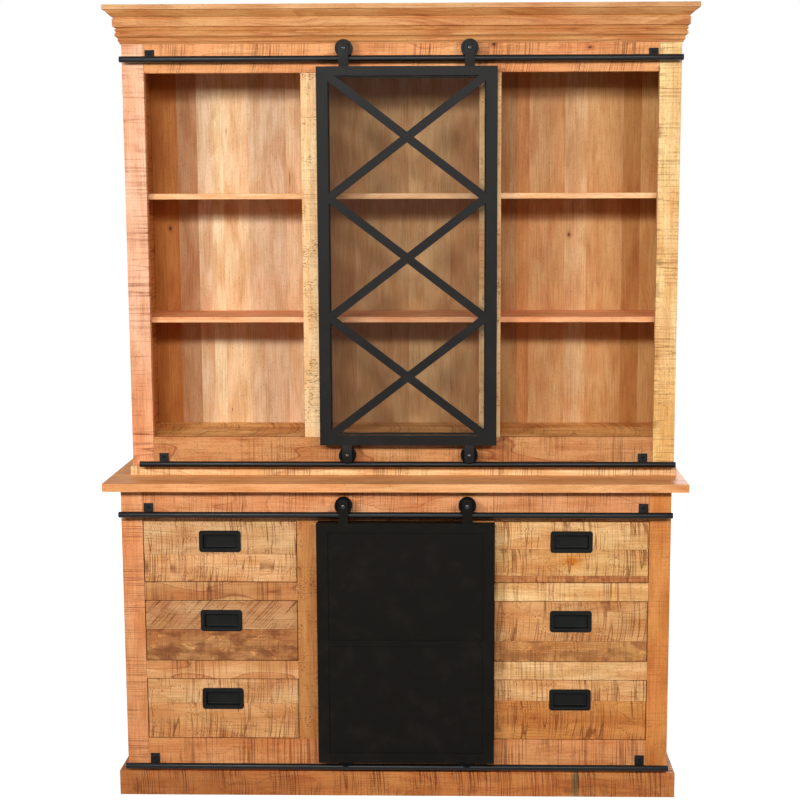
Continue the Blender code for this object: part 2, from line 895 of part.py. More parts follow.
def build_doors(base, hutch):
    upper = new_frame("upper_door", (upper_door_offset, -door_front, upper_door_bottom), hutch)
    lower = new_frame("lower_door", (lower_door_offset, -door_front, lower_door_bottom), base)
    piece("upper_door_frame", upper_door_frame(), upper, (0, 0, 0), "black_steel")
    glass_low = strap_root + glass_foot_gap
    glass_high = upper_door_height - strap_root - pane_gap
    glazing = pane(glass_low, glass_high, sheet + seat, glass_thickness)
    piece("upper_door_glass", glazing, upper, (0, 0, 0), "clear_glass")
    piece("lower_door_frame", lower_door_frame(), lower, (0, 0, 0), "black_steel")
    panel_low = lower_bolt_height + spacer_radius + pane_gap
    panel_high = lower_door_height - strap_root - pane_gap
    panel = pane(panel_low, panel_high, sheet + seat, panel_thickness)
    piece("lower_door_panel", panel, lower, (0, 0, 0), "black_steel")
    upper_wheels = (
        ("top", hutch_rod + axle_height - upper_door_bottom),
        ("bottom", hutch_low_rod_height + axle_height - upper_door_bottom),
    )
    lower_wheels = (
        ("top", base_rod + axle_height - lower_door_bottom),
        ("bottom", lower_bolt_height),
    )
    build_wheels(upper, "upper_door", upper_wheels)
    build_wheels(lower, "lower_door", lower_wheels)


def build_drawers(base):
    """Two banks of three, each drawer on an empty at the middle of its opening."""
    lift = opening_height / 2 - pull_drop - pull_height / 2
    for bank, way in (("left", -1), ("right", 1)):
        for level in range(drawers_in_bank):
            number = drawers_in_bank - level
            middle = floor_top + level * drawer_pitch + opening_height / 2
            name = f"{bank}_{number}"
            slide = new_frame(f"drawer_{name}", (way * bank_middle, 0, middle), base)
            piece(f"drawer_front_{name}", drawer_front(), slide, (0, 0, 0), drawer_woods[name])
            piece(f"drawer_box_{name}", drawer_box(), slide, (0, 0, 0), "inner_wood")
            piece(f"drawer_pull_{name}", cup_pull(), slide, (0, 0, lift), "black_steel")


clear_scene()
base_frame = new_frame("base", (-hutch_offset / 2, base_front, 0))
hutch_frame = new_frame("hutch", (hutch_offset / 2, hutch_front, counter_top_height))
build_base(base_frame)
build_hutch(hutch_frame)
build_tracks(base_frame, hutch_frame)
build_doors(base_frame, hutch_frame)
build_drawers(base_frame)
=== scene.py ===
"""The looks of the kitchen dresser: sawn boards, black steel gear and glass, in a white studio."""

import math
import random

import bmesh
import bpy
from mathutils import Matrix, Vector, noise


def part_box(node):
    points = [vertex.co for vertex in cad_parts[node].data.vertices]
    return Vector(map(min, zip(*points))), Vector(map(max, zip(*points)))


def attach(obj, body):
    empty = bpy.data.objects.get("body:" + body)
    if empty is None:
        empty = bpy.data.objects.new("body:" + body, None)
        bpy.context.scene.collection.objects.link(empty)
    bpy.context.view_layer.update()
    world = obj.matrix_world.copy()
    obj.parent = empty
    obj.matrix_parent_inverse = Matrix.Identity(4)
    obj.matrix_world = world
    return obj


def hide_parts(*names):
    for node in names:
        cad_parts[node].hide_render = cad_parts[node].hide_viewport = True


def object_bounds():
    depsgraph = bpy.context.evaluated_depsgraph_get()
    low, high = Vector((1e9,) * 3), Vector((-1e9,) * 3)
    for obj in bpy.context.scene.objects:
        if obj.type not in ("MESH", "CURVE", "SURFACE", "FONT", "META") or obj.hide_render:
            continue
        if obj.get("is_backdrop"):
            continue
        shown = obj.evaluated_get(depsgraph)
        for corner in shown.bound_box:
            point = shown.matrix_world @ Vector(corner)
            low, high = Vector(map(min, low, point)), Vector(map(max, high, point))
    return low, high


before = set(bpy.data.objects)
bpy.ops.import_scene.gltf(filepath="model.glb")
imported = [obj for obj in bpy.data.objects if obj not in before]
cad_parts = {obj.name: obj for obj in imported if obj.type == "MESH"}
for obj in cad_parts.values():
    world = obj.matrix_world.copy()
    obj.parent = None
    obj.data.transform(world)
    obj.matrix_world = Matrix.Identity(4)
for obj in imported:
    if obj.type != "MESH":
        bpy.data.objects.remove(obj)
solid_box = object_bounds()

# The studio is a white sweep with two soft boxes in front of the dresser, the left one the stronger,
# a third high behind the camera, and one that lights the back. The surround is white to the camera
# and in reflections, and lights the wood only a little.
photo_side = 800
focal_length_px = 1520.48
optical_centre_px = (424.70, 404.85)
camera_place = (0.1535, -4.1124, 1.6139)
camera_yaw = -0.0210
camera_pitch = -0.1377
camera_roll = -0.0026
surround_light = 0.02
floor_tone = 0.32
floor_glow = 0.85
floor_far_glow = 0.20
floor_glow_rise = (1.3, 3.5)
floor_reach = 14
floor_gap = 0.0005
lamp_aim = Vector((0.0, 0.0, 1.0))
soft_boxes = (
    ("key_box", (-1.90, -3.20, 2.35), (1.1, 0.40), 80),
    ("side_box", (1.70, -3.30, 2.35), (1.0, 0.40), 48),
    ("front_box", (-0.20, -5.60, 3.10), (1.6, 0.40), 134),
    ("back_box", (0.90, 4.20, 2.60), (1.8, 0.60), 120),
)

scene = bpy.context.scene
scene.view_settings.view_transform = "Standard"


def add_object(name, data):
    """A new object in the scene, at the origin."""
    made = bpy.data.objects.new(name, data)
    scene.collection.objects.link(made)
    return made


def as_mesh(name, bm):
    """The mesh of a finished shape."""
    mesh = bpy.data.meshes.new(name)
    bm.to_mesh(mesh)
    bm.free()
    return mesh


camera_data = bpy.data.cameras.new("camera")
camera_data.sensor_fit = "HORIZONTAL"
camera_data.lens = camera_data.sensor_width * focal_length_px / photo_side
camera_data.shift_x = (photo_side / 2 - optical_centre_px[0]) / photo_side
camera_data.shift_y = (optical_centre_px[1] - photo_side / 2) / photo_side
camera = add_object("camera", camera_data)
camera.matrix_world = (
    Matrix.Translation(camera_place)
    @ Matrix.Rotation(-camera_yaw, 4, "Z")
    @ Matrix.Rotation(math.pi / 2 + camera_pitch, 4, "X")
    @ Matrix.Rotation(camera_roll, 4, "Z")
)
scene.camera = camera

for name, place, sides, power in soft_boxes:
    lamp = bpy.data.lights.new(name, "AREA")
    lamp.shape = "RECTANGLE"
    lamp.size, lamp.size_y = sides
    lamp.energy = power
    soft_box = add_object(name, lamp)
    soft_box.location = place
    soft_box.rotation_euler = (lamp_aim - Vector(place)).to_track_quat("-Z", "Y").to_euler()


class Signal:
    """A socket of a material or of the surround. Sums on it add the nodes that work them out."""

    def __init__(self, tree, socket=None):
        self.tree = tree
        self.socket = socket

    def node(self, kind, settings, inputs, output=0):
        """Any node: its settings come first, then the values or links of its sockets."""
        made = self.tree.nodes.new(kind)
        for setting, value in settings.items():
            if setting == "stops":
                ramp = made.color_ramp
                ramp.interpolation = "CONSTANT"
                for number, (position, colour) in enumerate(value):
                    known = number < len(ramp.elements)
                    stop = ramp.elements[number] if known else ramp.elements.new(position)
                    stop.position = position
                    stop.color = colour
            else:
                setattr(made, setting, value)
        for place, value in inputs.items():
            if isinstance(value, Signal):
                value.feed(made, place)
            else:
                made.inputs[place].default_value = value
        return Signal(self.tree, made.outputs[output])

    def math(self, operation, *values):
        return self.node("ShaderNodeMath", {"operation": operation}, dict(enumerate(values)))

    def other(self, output):
        """Another output of the same node."""
        return Signal(self.tree, self.socket.node.outputs[output])

    def feed(self, node, place):
        """Leads into a socket of a node that is there already."""
        self.tree.links.new(self.socket, node.inputs[place])

    def between(self, low, high):
        """0 below one value, 1 above the other and a smooth rise from one to the other."""
        settings = {"interpolation_type": "SMOOTHSTEP"}
        return self.node("ShaderNodeMapRange", settings, {0: self, 1: low, 2: high})

    def __add__(self, other):
        return self.math("ADD", self, other)

    def __radd__(self, other):
        return self.math("ADD", other, self)

    def __sub__(self, other):
        return self.math("SUBTRACT", self, other)

    def __rsub__(self, other):
        return self.math("SUBTRACT", other, self)

    def __mul__(self, other):
        return self.math("MULTIPLY", self, other)

    def __rmul__(self, other):
        return self.math("MULTIPLY", other, self)


def seen_directly(tree):
    """1 to the camera, in a reflection and through glass, and 0 to the light that falls on things."""
    camera_ray = Signal(tree).node("ShaderNodeLightPath", {}, {}, "Is Camera Ray")
    glossy_ray = camera_ray.other("Is Glossy Ray")
    through_ray = camera_ray.other("Is Transmission Ray")
    return camera_ray.math("MAXIMUM", camera_ray.math("MAXIMUM", camera_ray, glossy_ray), through_ray)


surround = bpy.data.worlds.new("surround")
surround.use_nodes = True
scene.world = surround
background = surround.node_tree.nodes["Background"]
background.inputs["Color"].default_value = (1, 1, 1, 1)
strength = seen_directly(surround.node_tree) * (1 - surround_light) + surround_light
strength.feed(background, "Strength")

sweep = bpy.data.materials.new("white_sweep")
sweep.use_nodes = True
tree = sweep.node_tree
tree.nodes.remove(tree.nodes["Principled BSDF"])
start = Signal(tree)
paper = start.node("ShaderNodeBsdfDiffuse", {}, {"Color": (floor_tone, floor_tone, floor_tone, 1)})
point = start.node("ShaderNodeTexCoord", {}, {}, "Object")
away = start.node("ShaderNodeVectorMath", {"operation": "LENGTH"}, {0: point}, 1)
level = away.between(*floor_glow_rise) * floor_far_glow + floor_glow
glow = start.node("ShaderNodeEmission", {}, {"Strength": seen_directly(tree) * level})
both = start.node("ShaderNodeAddShader", {}, {0: paper, 1: glow})
both.feed(tree.nodes["Material Output"], "Surface")
bm = bmesh.new()
bmesh.ops.create_grid(bm, x_segments=8, y_segments=8, size=floor_reach)
bmesh.ops.translate(bm, verts=bm.verts, vec=(0, 0, -floor_gap))
floor_mesh = as_mesh("studio_floor", bm)
floor_mesh.materials.append(sweep)
floor = add_object("studio_floor", floor_mesh)
floor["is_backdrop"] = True

# The hutch's sides: a front post with a panel of three boards glued behind it. All the wood is
# mango, left from the saw and oiled, so each board has its own tone, saw marks across its length,
# fibres along it and rings that the saw has cut slantwise.
frame_thickness = 0.022
side_thickness = 0.020
board_ease = 0.0010
seam_ease = 0.0003
board_waver = 0.0003
joint_match = 0.0001
sharp_edge = math.radians(35)
smooth_below = math.radians(32)
waver_step = 0.08
waver_grain = 11
oil_gloss = 0.54
oil_sheen = 0.30
# Each tone is lifted by these factors, because the stains over it darken it.
tone_lift = (1.22, 1.34, 1.46)
palest = 0.96
# Patches of noise in the wood: their length along the grain, width across it, fineness and place
# in the noise, and the levels between which they rise.
patches = {
    "sway": (0.32, 0.11, 1, 3),
    "ring_patch": (0.25, 0.08, 1, 13, 0.35, 0.60),
    "cloud": (0.15, 0.045, 3, 9, 0.38, 0.66),
    "blush": (0.21, 0.07, 1, 57, 0.42, 0.66),
    "olive": (0.11, 0.03, 2, 71, 0.50, 0.72),
    "fibre": (0.10, 0.0030, 2, 17, 0.40, 0.70),
    "pore": (0.008, 0.0009, 0, 29, 0.70, 0.78),
    "comb_patch": (0.08, 0.16, 1, 41, 0.36, 0.62),
    "stroke_patch": (0.06, 0.05, 1, 63, 0.36, 0.60),
    "cluster": (0.045, 0.025, 1, 91, 0.50, 0.62),
    "dash": (0.0020, 0.0065, 0, 83, 0.60, 0.70),
    "figure": (0.24, 0.06, 1, 111),
    "blotch": (0.05, 0.035, 4, 131, 0.44, 0.60),
    "scratch": (0.03, 0.015, 1, 151),
}
# Stains over the board's own tone, from the lowest up: how strong each is and its tint.
stains = {
    "cloud": (0.8, (0.80, 0.64, 0.48)),
    "heartwood": (0.8, (0.84, 0.68, 0.56)),
    "brim": (1, (0.56, 0.38, 0.28)),
    "blotch": (1, (0.54, 0.42, 0.34)),
    "scratch": (1, (1.7, 1.8, 1.9)),
    "blush": (0.6, (0.98, 0.82, 0.72)),
    "olive": (0.5, (0.82, 0.80, 0.64)),
    "ring": (1, (0.76, 0.58, 0.42)),
    "fibre": (0.55, (0.76, 0.62, 0.48)),
    "mark": (1, (0.42, 0.31, 0.22)),
    "pore": (0.8, (0.42, 0.31, 0.22)),
}
ring_gap = 0.0078
ring_rise = (0.25, 1.0)
ring_tilt = 0.16
pith_depth = 0.016
pith_spread = 0.09
pith_sway = (0.05, 0.07)
heartwood_rise = (0.550, 0.560)
brim_rise = (0.535, 0.550)
brim_fall = (0.550, 0.562)
comb_spread = 5
comb_rise = (0.47, 0.63)
stroke_gap = 0.016
stroke_spread = 4
stroke_place = 7
stroke_rise = (0.0, 0.045)
scratch_rise = (0.0, 0.04)
saw_slant = 0.9
saw_lean = 0.1
saw_bow = 1.4
blotch_hides = 0.7
fibre_rough, mark_rough = 0.10, 0.15
fibre_depth, pore_depth = 0.2, 0.6
bump_strength, bump_depth = 0.5, 0.0007
board_apart, wood_apart = 53, 20
spot_sway = 0.01
rim_fade = (0.2, 2.4)
core_fade = (0.3, 0.9)
# How a board was cut: how strongly each kind of mark shows on it, and the pitch of the saw's comb.
planed = {"comb": 0.0, "strokes": 0.0, "dashes": 0.15, "rings": 0.3, "figure": 0.1, "pitch": 0.0033}
fine_sawn = {"comb": 0.8, "strokes": 0.4, "dashes": 0.3, "rings": 0.3, "figure": 0.6, "pitch": 0.0033}
rough_sawn = {"comb": 0.8, "strokes": 1.0, "dashes": 0.9, "rings": 0.4, "figure": 0.5, "pitch": 0.0035}
# Single marks: the tint of the rim and of the core. A spot gives its place along and across the
# grain, its length, its width and its mark.
knot = ((0.70, 0.52, 0.40), (0.25, 0.15, 0.10))
crack = ((0.90, 0.80, 0.72), (0.22, 0.13, 0.09))
amber = ((0.97, 0.90, 0.70), (0.86, 0.60, 0.14))
grey_streak = ((0.96, 0.98, 1.0), (0.44, 0.74, 1.0))
orange_foot = ((0.98, 0.80, 0.62), (1.0, 1.0, 1.0))
amber_foot = ((1.0, 0.90, 0.72), (1.0, 1.0, 1.0))
dark_end = ((0.78, 0.72, 0.70), (1.0, 1.0, 1.0))


def shade(red, green, blue):
    """A colour given as a screen shows it, 0 to 255, as the light that it reflects."""
    shares = (value / 255 for value in (red, green, blue))
    return (*(((share + 0.055) / 1.055) ** 2.4 for share in shares), 1)


def new_finish(name):
    """A material, its shader, and the point on the object that its patterns are read at."""
    material = bpy.data.materials.new(name)
    material.use_nodes = True
    tree = material.node_tree
    point = Signal(tree).node("ShaderNodeTexCoord", {}, {}, "Object")
    return material, tree.nodes["Principled BSDF"], point


def sawn_wood(name, node, along, across, tones, cut, spots=()):
    """Mango wood in boards laid side by side. tones gives where each board starts and its colour,
    and may add whether it was sawn at a slant and whether it is blotched. Spots are single marks."""
    axes = {"X": 0, "Y": 1, "Z": 2}
    deep_axis = next(axis for axis in axes if axis not in (along, across))
    corner, far_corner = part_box(node)
    low, high = corner[axes[across]], far_corner[axes[across]]
    run_middle = (corner[axes[along]] + far_corner[axes[along]]) / 2
    chance = random.Random(name)
    material, shader, point = new_finish(name)
    split = point.node("ShaderNodeSeparateXYZ", {}, {0: point})
    run, side, deep = split.other(along), split.other(across), split.other(deep_axis)
    deep = deep - corner[axes[deep_axis]]

    starts = [start for start, *looks in tones] + [high]
    colours, facts = [], []
    for (start, tone, *style), end in zip(tones, starts[1:]):
        slanted, blotched = style or (0, 0)
        share = max(0, (start - low) / (high - low))
        lifted = (*(min(value * lift, palest) for value, lift in zip(tone, tone_lift)), 1)
        colours.append((share, lifted))
        middle = ((max(start, low) + end) / 2 - low) / (high - low)
        facts.append((share, (chance.random(), middle, slanted, blotched)))
    if len(tones) == 1:
        tone = colours[0][1]
        number, middle = facts[0][1][0], (low + high) / 2
    else:
        share = (side - low) * (1 / (high - low))
        tone = share.node("ShaderNodeValToRGB", {"stops": colours}, {0: share})
        fact = share.node("ShaderNodeValToRGB", {"stops": facts}, {0: share})
        number = fact.node("ShaderNodeSeparateColor", {}, {0: fact})
        middle = number.other("Green") * (high - low) + low
        slanted, blotched = number.other("Blue"), fact.other("Alpha")
    shift = number * board_apart + chance.random() * wood_apart

    def noise_at(first, second, third, detail=1):
        spot = side.node("ShaderNodeCombineXYZ", {}, {0: first, 1: second, 2: third})
        inputs = {"Vector": spot, "Scale": 1, "Detail": detail}
        return side.node("ShaderNodeTexNoise", {}, inputs)

    def mottle(kind):
        """Noise in patches of one kind."""
        length, width, detail, offset, *levels = patches[kind]
        first = run * (1 / length) + offset
        spread = noise_at(first, side * (1 / width) + shift, deep * (1 / width), detail)
        return spread.between(*levels) if levels else spread

    def ridge(spread, levels):
        """1 along the lines where a noise is half way, 0 off them."""
        spread = spread - 0.5
        return 1 - spread.math("ABSOLUTE", spread).between(*levels)

    def stain(colour, factor, tint):
        """A colour darkened towards itself times a tint."""
        settings = {"data_type": "RGBA", "blend_type": "MULTIPLY"}
        return side.node("ShaderNodeMix", settings, {0: factor, 6: colour, 7: (*tint, 1)}, 2)

    sway = mottle("sway") - 0.5
    pith_side = side - middle + sway * pith_sway[0] + (number - 0.5) * pith_spread
    pith_deep = deep + (run - run_middle) * ((number - 0.5) * ring_tilt)
    pith_deep = pith_deep + sway * pith_sway[1] + pith_depth
    reach = side.node("ShaderNodeCombineXYZ", {}, {0: pith_side, 1: pith_deep})
    radius = side.node("ShaderNodeVectorMath", {"operation": "LENGTH"}, {0: reach}, 1)
    ring = side.math("FRACT", radius * (1 / ring_gap)).between(*ring_rise)
    across_board = side - middle
    stroke = run + across_board * ((number - 0.5) * saw_lean) - across_board * slanted * saw_slant
    stroke = stroke + across_board * across_board * (1 - slanted) * saw_bow
    comb = stroke * (1 / cut["pitch"])
    comb = noise_at(comb, side * comb_spread + shift, deep * comb_spread).between(*comb_rise)
    strokes = stroke * (1 / stroke_gap) + stroke_place
    strokes = noise_at(strokes, side * stroke_spread + shift, deep * stroke_spread, 0)
    strokes = ridge(strokes, stroke_rise) * mottle("stroke_patch")
    cluster = mottle("cluster")
    dashes = mottle("dash") * cluster
    mark = comb * mottle("comb_patch") * cut["comb"] + strokes * cut["strokes"] + dashes * cut["dashes"]
    mark = mark * (1 - blotched * blotch_hides)
    figure = mottle("figure")
    layers = {
        "cloud": mottle("cloud"),
        "heartwood": figure.between(*heartwood_rise) * cut["figure"],
        "brim": figure.between(*brim_rise) * (1 - figure.between(*brim_fall)) * cut["figure"],
        "blotch": mottle("blotch") * blotched,
        "scratch": ridge(mottle("scratch"), scratch_rise) * cluster * blotched,
        "blush": mottle("blush"),
        "olive": mottle("olive"),
        "ring": ring * mottle("ring_patch") * cut["rings"],
        "fibre": mottle("fibre"),
        "mark": mark,
        "pore": mottle("pore"),
    }
    colour = tone
    for kind, (strength, tint) in stains.items():
        colour = stain(colour, layers[kind] * strength, tint)
    for spot_run, spot_side, length, width, (rim, core) in spots:
        aside = side - spot_side + sway * spot_sway
        inputs = {0: (run - spot_run) * (1 / length), 1: aside * (1 / width)}
        span = side.node("ShaderNodeCombineXYZ", {}, inputs)
        far = side.node("ShaderNodeVectorMath", {"operation": "LENGTH"}, {0: span}, 1)
        colour = stain(colour, 1 - far.between(*rim_fade), rim)
        colour = stain(colour, 1 - far.between(*core_fade), core)
    colour.feed(shader, "Base Color")
    rough = oil_gloss + layers["fibre"] * fibre_rough + mark * mark_rough
    rough.feed(shader, "Roughness")
    shader.inputs["Specular IOR Level"].default_value = oil_sheen
    height = 0 - mark - layers["fibre"] * fibre_depth - layers["pore"] * pore_depth
    bump_inputs = {"Strength": bump_strength, "Distance": bump_depth, "Height": height}
    bump = height.node("ShaderNodeBump", {}, bump_inputs)
    bump.feed(shader, "Normal")
    return material


def block(low, high):
    """A plain block between opposite corners, to be worked further."""
    low, high = Vector(low), Vector(high)
    bm = bmesh.new()
    place = Matrix.Translation((low + high) / 2) @ Matrix.Diagonal((*(high - low), 1))
    bmesh.ops.create_cube(bm, size=1, matrix=place)
    return bm


def add_shape(bm, shape):
    """Puts one shape beside what a bmesh holds already."""
    mesh = as_mesh("shape", shape)
    bm.from_mesh(mesh)
    bpy.data.meshes.remove(mesh)


def sawn_boards(boxes, along, edge=board_ease, glued=None):
    """Boards between opposite corners, with eased edges and faces that waver as the saw left them.
    Boards glued side by side along an axis meet in straight, closed joints."""
    axis = "XYZ".index(along)
    across = "XYZ".index(glued) if glued else axis
    joints = [low[across] for low, high in boxes[1:]] if glued else []
    bm = bmesh.new()
    for low, high in boxes:
        low, high = Vector(low), Vector(high)
        middle = (low + high) / 2
        plank = ease(block(low, high), edge)
        cuts = int((high - low)[axis] / waver_step)
        for cut in range(1, cuts + 1):
            at = low.copy()
            at[axis] += (high - low)[axis] * cut / (cuts + 1)
            normal = Vector((0, 0, 0))
            normal[axis] = 1
            everything = plank.verts[:] + plank.edges[:] + plank.faces[:]
            bmesh.ops.bisect_plane(plank, geom=everything, plane_co=at, plane_no=normal)
        for vert in plank.verts:
            for other in range(3):
                end = low[other] if vert.co[other] < middle[other] else high[other]
                closed = other == across and any(abs(end - joint) < joint_match for joint in joints)
                if other != axis and not closed:
                    inward = math.copysign(board_waver, middle[other] - vert.co[other])
                    vert.co[other] += inward * (0.5 + 0.5 * noise.noise(vert.co * waver_grain))
        add_shape(bm, plank)
    return bm


def round_off(bm, geom, width, segments, affect="EDGES"):
    """Rounds off edges, or the corners of a flat outline."""
    bmesh.ops.bevel(
        bm,
        geom=geom,
        offset=width,
        offset_type="OFFSET",
        segments=segments,
        profile=0.5,
        affect=affect,
        clamp_overlap=True,
        material=-1,
    )


def ease(bm, width, segments=2, sharp=sharp_edge):
    """Rounds off every edge that is sharper than an angle."""
    edges = [edge for edge in bm.edges if edge.is_manifold and edge.calc_face_angle() > sharp]
    round_off(bm, edges, width, segments)
    return bm


def fit_piece(name, bm, body, material, nodes, smooth=False):
    """A finished piece: coated, riding on its body and standing for its solids."""
    mesh = as_mesh(name, bm)
    if smooth:
        mesh.shade_smooth()
        mesh.set_sharp_from_angle(angle=smooth_below)
    mesh.materials.append(material)
    piece = add_object(name, mesh)
    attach(piece, body)
    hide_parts(*nodes)
    return piece


def side(node, way, tones, cut, spots=()):
    """A post and the side panel behind it. tones starts with the post's, then one a board."""
    low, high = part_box(node)
    behind = low.y + frame_thickness
    outer = low.x if way < 0 else high.x - side_thickness
    width = (high.y - behind) / (len(tones) - 1)
    boxes = [((low.x, low.y, low.z), (high.x, behind, high.z))]
    starts = [low.y]
    for number in range(len(tones) - 1):
        near = behind + width * number
        starts.append(near)
        boxes.append(((outer, near, low.z), (outer + side_thickness, near + width, high.z)))
    wood = sawn_wood(f"{node}_wood", node, "Z", "Y", list(zip(starts, tones)), cut, spots)
    bm = sawn_boards(boxes, "Z", glued="Y")
    fit_piece(f"{node}_boards", bm, "carcass", wood, [node])


post_sawn = {"comb": 0.5, "strokes": 0.6, "dashes": 0.3, "rings": 0.2, "figure": 0.2, "pitch": 0.0045}
# The left side's three panel boards are toned darker and more orange than their wood: painted shade on
# the side's inner face in the left bays.
side(
    "hutch_side_left",
    -1,
    (shade(224, 166, 130), shade(200, 136, 68), shade(213, 154, 82), shade(192, 128, 62)),
    post_sawn,
    [(0.90, -0.072, 0.17, 0.016, orange_foot)],
)
side(
    "hutch_side_right",
    1,
    (shade(232, 189, 128), shade(202, 140, 78), shade(192, 126, 64), shade(208, 148, 86)),
    post_sawn,
    [(0.90, -0.072, 0.15, 0.016, amber_foot)],
)

# The hutch's dividers: a stile in front and a partition behind it, halved over the two shelves
# that run through all three bays. Stiles are pale, with a column of short dark saw strokes.
shelf_ease = 0.0014
corner_match = 0.00002
flat_angle = math.radians(0.6)
stile_sawn = {"comb": 0.3, "strokes": 0.2, "dashes": 1.2, "rings": 0.3, "figure": 0.2, "pitch": 0.004}


def solid_copy(node, width, segments=2, keep=None):
    """The shape of a solid, its faces made whole and its edges eased, or only a run of its height."""
    bm = bmesh.new()
    bm.from_mesh(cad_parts[node].data)
    bmesh.ops.remove_doubles(bm, verts=bm.verts, dist=corner_match)
    if keep:
        for height, up in ((keep[0], -1), (keep[1], 1)):
            cut = bmesh.ops.bisect_plane(
                bm,
                geom=bm.verts[:] + bm.edges[:] + bm.faces[:],
                plane_co=(0, 0, height),
                plane_no=(0, 0, up),
                clear_outer=True,
            )
            rim = [item for item in cut["geom_cut"] if isinstance(item, bmesh.types.BMEdge)]
            bmesh.ops.holes_fill(bm, edges=rim, sides=0)
    bmesh.ops.dissolve_limit(bm, angle_limit=flat_angle, verts=bm.verts, edges=bm.edges)
    return ease(bm, width, segments)


def front_and_behind(node, front, behind):
    """The tones of a solid whose front board is one wood and all behind it another."""
    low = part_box(node)[0]
    return [(low.y, front), (low.y + frame_thickness, behind)]


for node, front, behind in (
    ("hutch_divider_left", shade(232, 188, 136), shade(208, 148, 92)),
    ("hutch_divider_right", shade(232, 183, 125), shade(190, 132, 75)),
    ("base_divider_left", shade(184, 120, 63), shade(176, 112, 62)),
    ("base_divider_right", shade(206, 146, 88), shade(176, 112, 62)),
):
    tones = front_and_behind(node, front, behind)
    wood = sawn_wood(f"{node}_wood", node, "Z", "Y", tones, stile_sawn)
    fit_piece(f"{node}_boards", solid_copy(node, board_ease), "carcass", wood, [node])

for node, tone in (("shelf_lower", shade(229, 162, 113)), ("shelf_upper", shade(232, 177, 127))):
    wood = sawn_wood(f"{node}_wood", node, "X", "Y", [(0, tone)], planed)
    fit_piece(f"{node}_board", solid_copy(node, shelf_ease), "carcass", wood, [node])

# The hutch's back: upright boards of many widths and tones, planed and glued edge to edge.
# Each starts where the last one ends, from left to right. The two leftmost boards and the two
# rightmost are toned darker, partly their own wood and partly painted shadow cast by the sides.
back_boards_and_painted_shadow = (
    (-0.720, shade(174, 107, 44)),
    (-0.668, shade(181, 114, 50)),
    (-0.633, shade(185, 137, 95)),
    (-0.577, shade(213, 178, 140)),
    (-0.538, shade(217, 187, 144)),
    (-0.502, shade(213, 177, 134)),
    (-0.431, shade(202, 166, 129)),
    (-0.327, shade(212, 172, 130)),
    (-0.236, shade(178, 133, 83)),
    (-0.134, shade(187, 144, 93)),
    (0.015, shade(192, 151, 100)),
    (0.135, shade(187, 141, 90)),
    (0.252, shade(172, 126, 75)),
    (0.321, shade(190, 127, 69)),
    (0.354, shade(198, 146, 92)),
    (0.455, shade(200, 156, 108)),
    (0.514, shade(187, 137, 83)),
    (0.617, shade(167, 112, 54)),
    (0.663, shade(181, 133, 76)),
)


def upright_panel(node, starts, name, cut, spots=()):
    """Upright boards side by side across a back."""
    low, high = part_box(node)
    edges = [low.x, *(start for start, tone in starts[1:]), high.x]
    boxes = []
    for left, right in zip(edges, edges[1:]):
        boxes.append(((left, low.y, low.z), (right, high.y, high.z)))
    wood = sawn_wood(f"{node}_wood", node, "Z", "X", starts, cut, spots)
    bm = sawn_boards(boxes, "Z", seam_ease, "X")
    fit_piece(name, bm, "carcass", wood, [node])


back_spots = (
    (1.520, -0.655, 0.008, 0.005, knot),
    (1.500, 0.470, 0.008, 0.005, knot),
    (1.790, -0.492, 0.010, 0.0016, crack),
    (1.657, -0.315, 0.035, 0.0018, crack),
    (1.003, -0.489, 0.009, 0.0016, crack),
)
upright_panel("hutch_back", back_boards_and_painted_shadow, "hutch_back_boards", planed, back_spots)

# The header over the bays, with the crown moulding planted on it and round both sides, and the
# cap board on top. The moulding is run from straight-grained wood and mitred at the corners.
# Its section is given as the reach from the header and the drop from the cap.
cap_shares = (0, 0.38, 0.72)
crown_cut = {"comb": 0.0, "strokes": 0.0, "dashes": 0.1, "rings": 0.9, "figure": 0.3, "pitch": 0.0033}
crown_section = (
    (0.0003, 0.0000),
    (0.0340, 0.0000),
    (0.0336, 0.0018),
    (0.0300, 0.0060),
    (0.0250, 0.0110),
    (0.0212, 0.0145),
    (0.0190, 0.0160),
    (0.0164, 0.0168),
    (0.0158, 0.0190),
    (0.0168, 0.0208),
    (0.0184, 0.0216),
    (0.0180, 0.0350),
    (0.0176, 0.0405),
    (0.0168, 0.0412),
    (0.0112, 0.0414),
    (0.0100, 0.0440),
    (0.0112, 0.0464),
    (0.0136, 0.0470),
    (0.0140, 0.0486),
    (0.0134, 0.0500),
    (0.0112, 0.0520),
    (0.0104, 0.0545),
    (0.0112, 0.0570),
    (0.0134, 0.0582),
    (0.0136, 0.0630),
    (0.0124, 0.0650),
    (0.0092, 0.0668),
    (0.0072, 0.0692),
    (0.0062, 0.0716),
    (0.0068, 0.0736),
    (0.0066, 0.0765),
    (0.0050, 0.0790),
    (0.0030, 0.0800),
    (0.0026, 0.0835),
    (0.0003, 0.0835),
)


def single_board(node, name, along, across, tone, cut, spots=()):
    """A board that is one solid."""
    wood = sawn_wood(f"{node}_wood", node, along, across, [(0, tone)], cut, spots)
    bm = sawn_boards([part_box(node)], along)
    fit_piece(name, bm, "carcass", wood, [node])


def run_moulding(stations, centre, half, front, back, head):
    """The section drawn from one station to the next, each a side and whether it is at a corner."""
    bm = bmesh.new()
    rings = []
    for way, at_front in stations:
        ring = []
        for out, drop in crown_section:
            y = front - out if at_front else back
            ring.append(bm.verts.new((centre + way * (half + out), y, head - drop)))
        bm.faces.new(ring)
        for first, second in zip(ring, ring[1:] + ring[:1]):
            rings.append(bm.edges.get((first, second)))
    bmesh.ops.bridge_loops(bm, edges=rings)
    bmesh.ops.recalc_face_normals(bm, faces=bm.faces)
    return bm


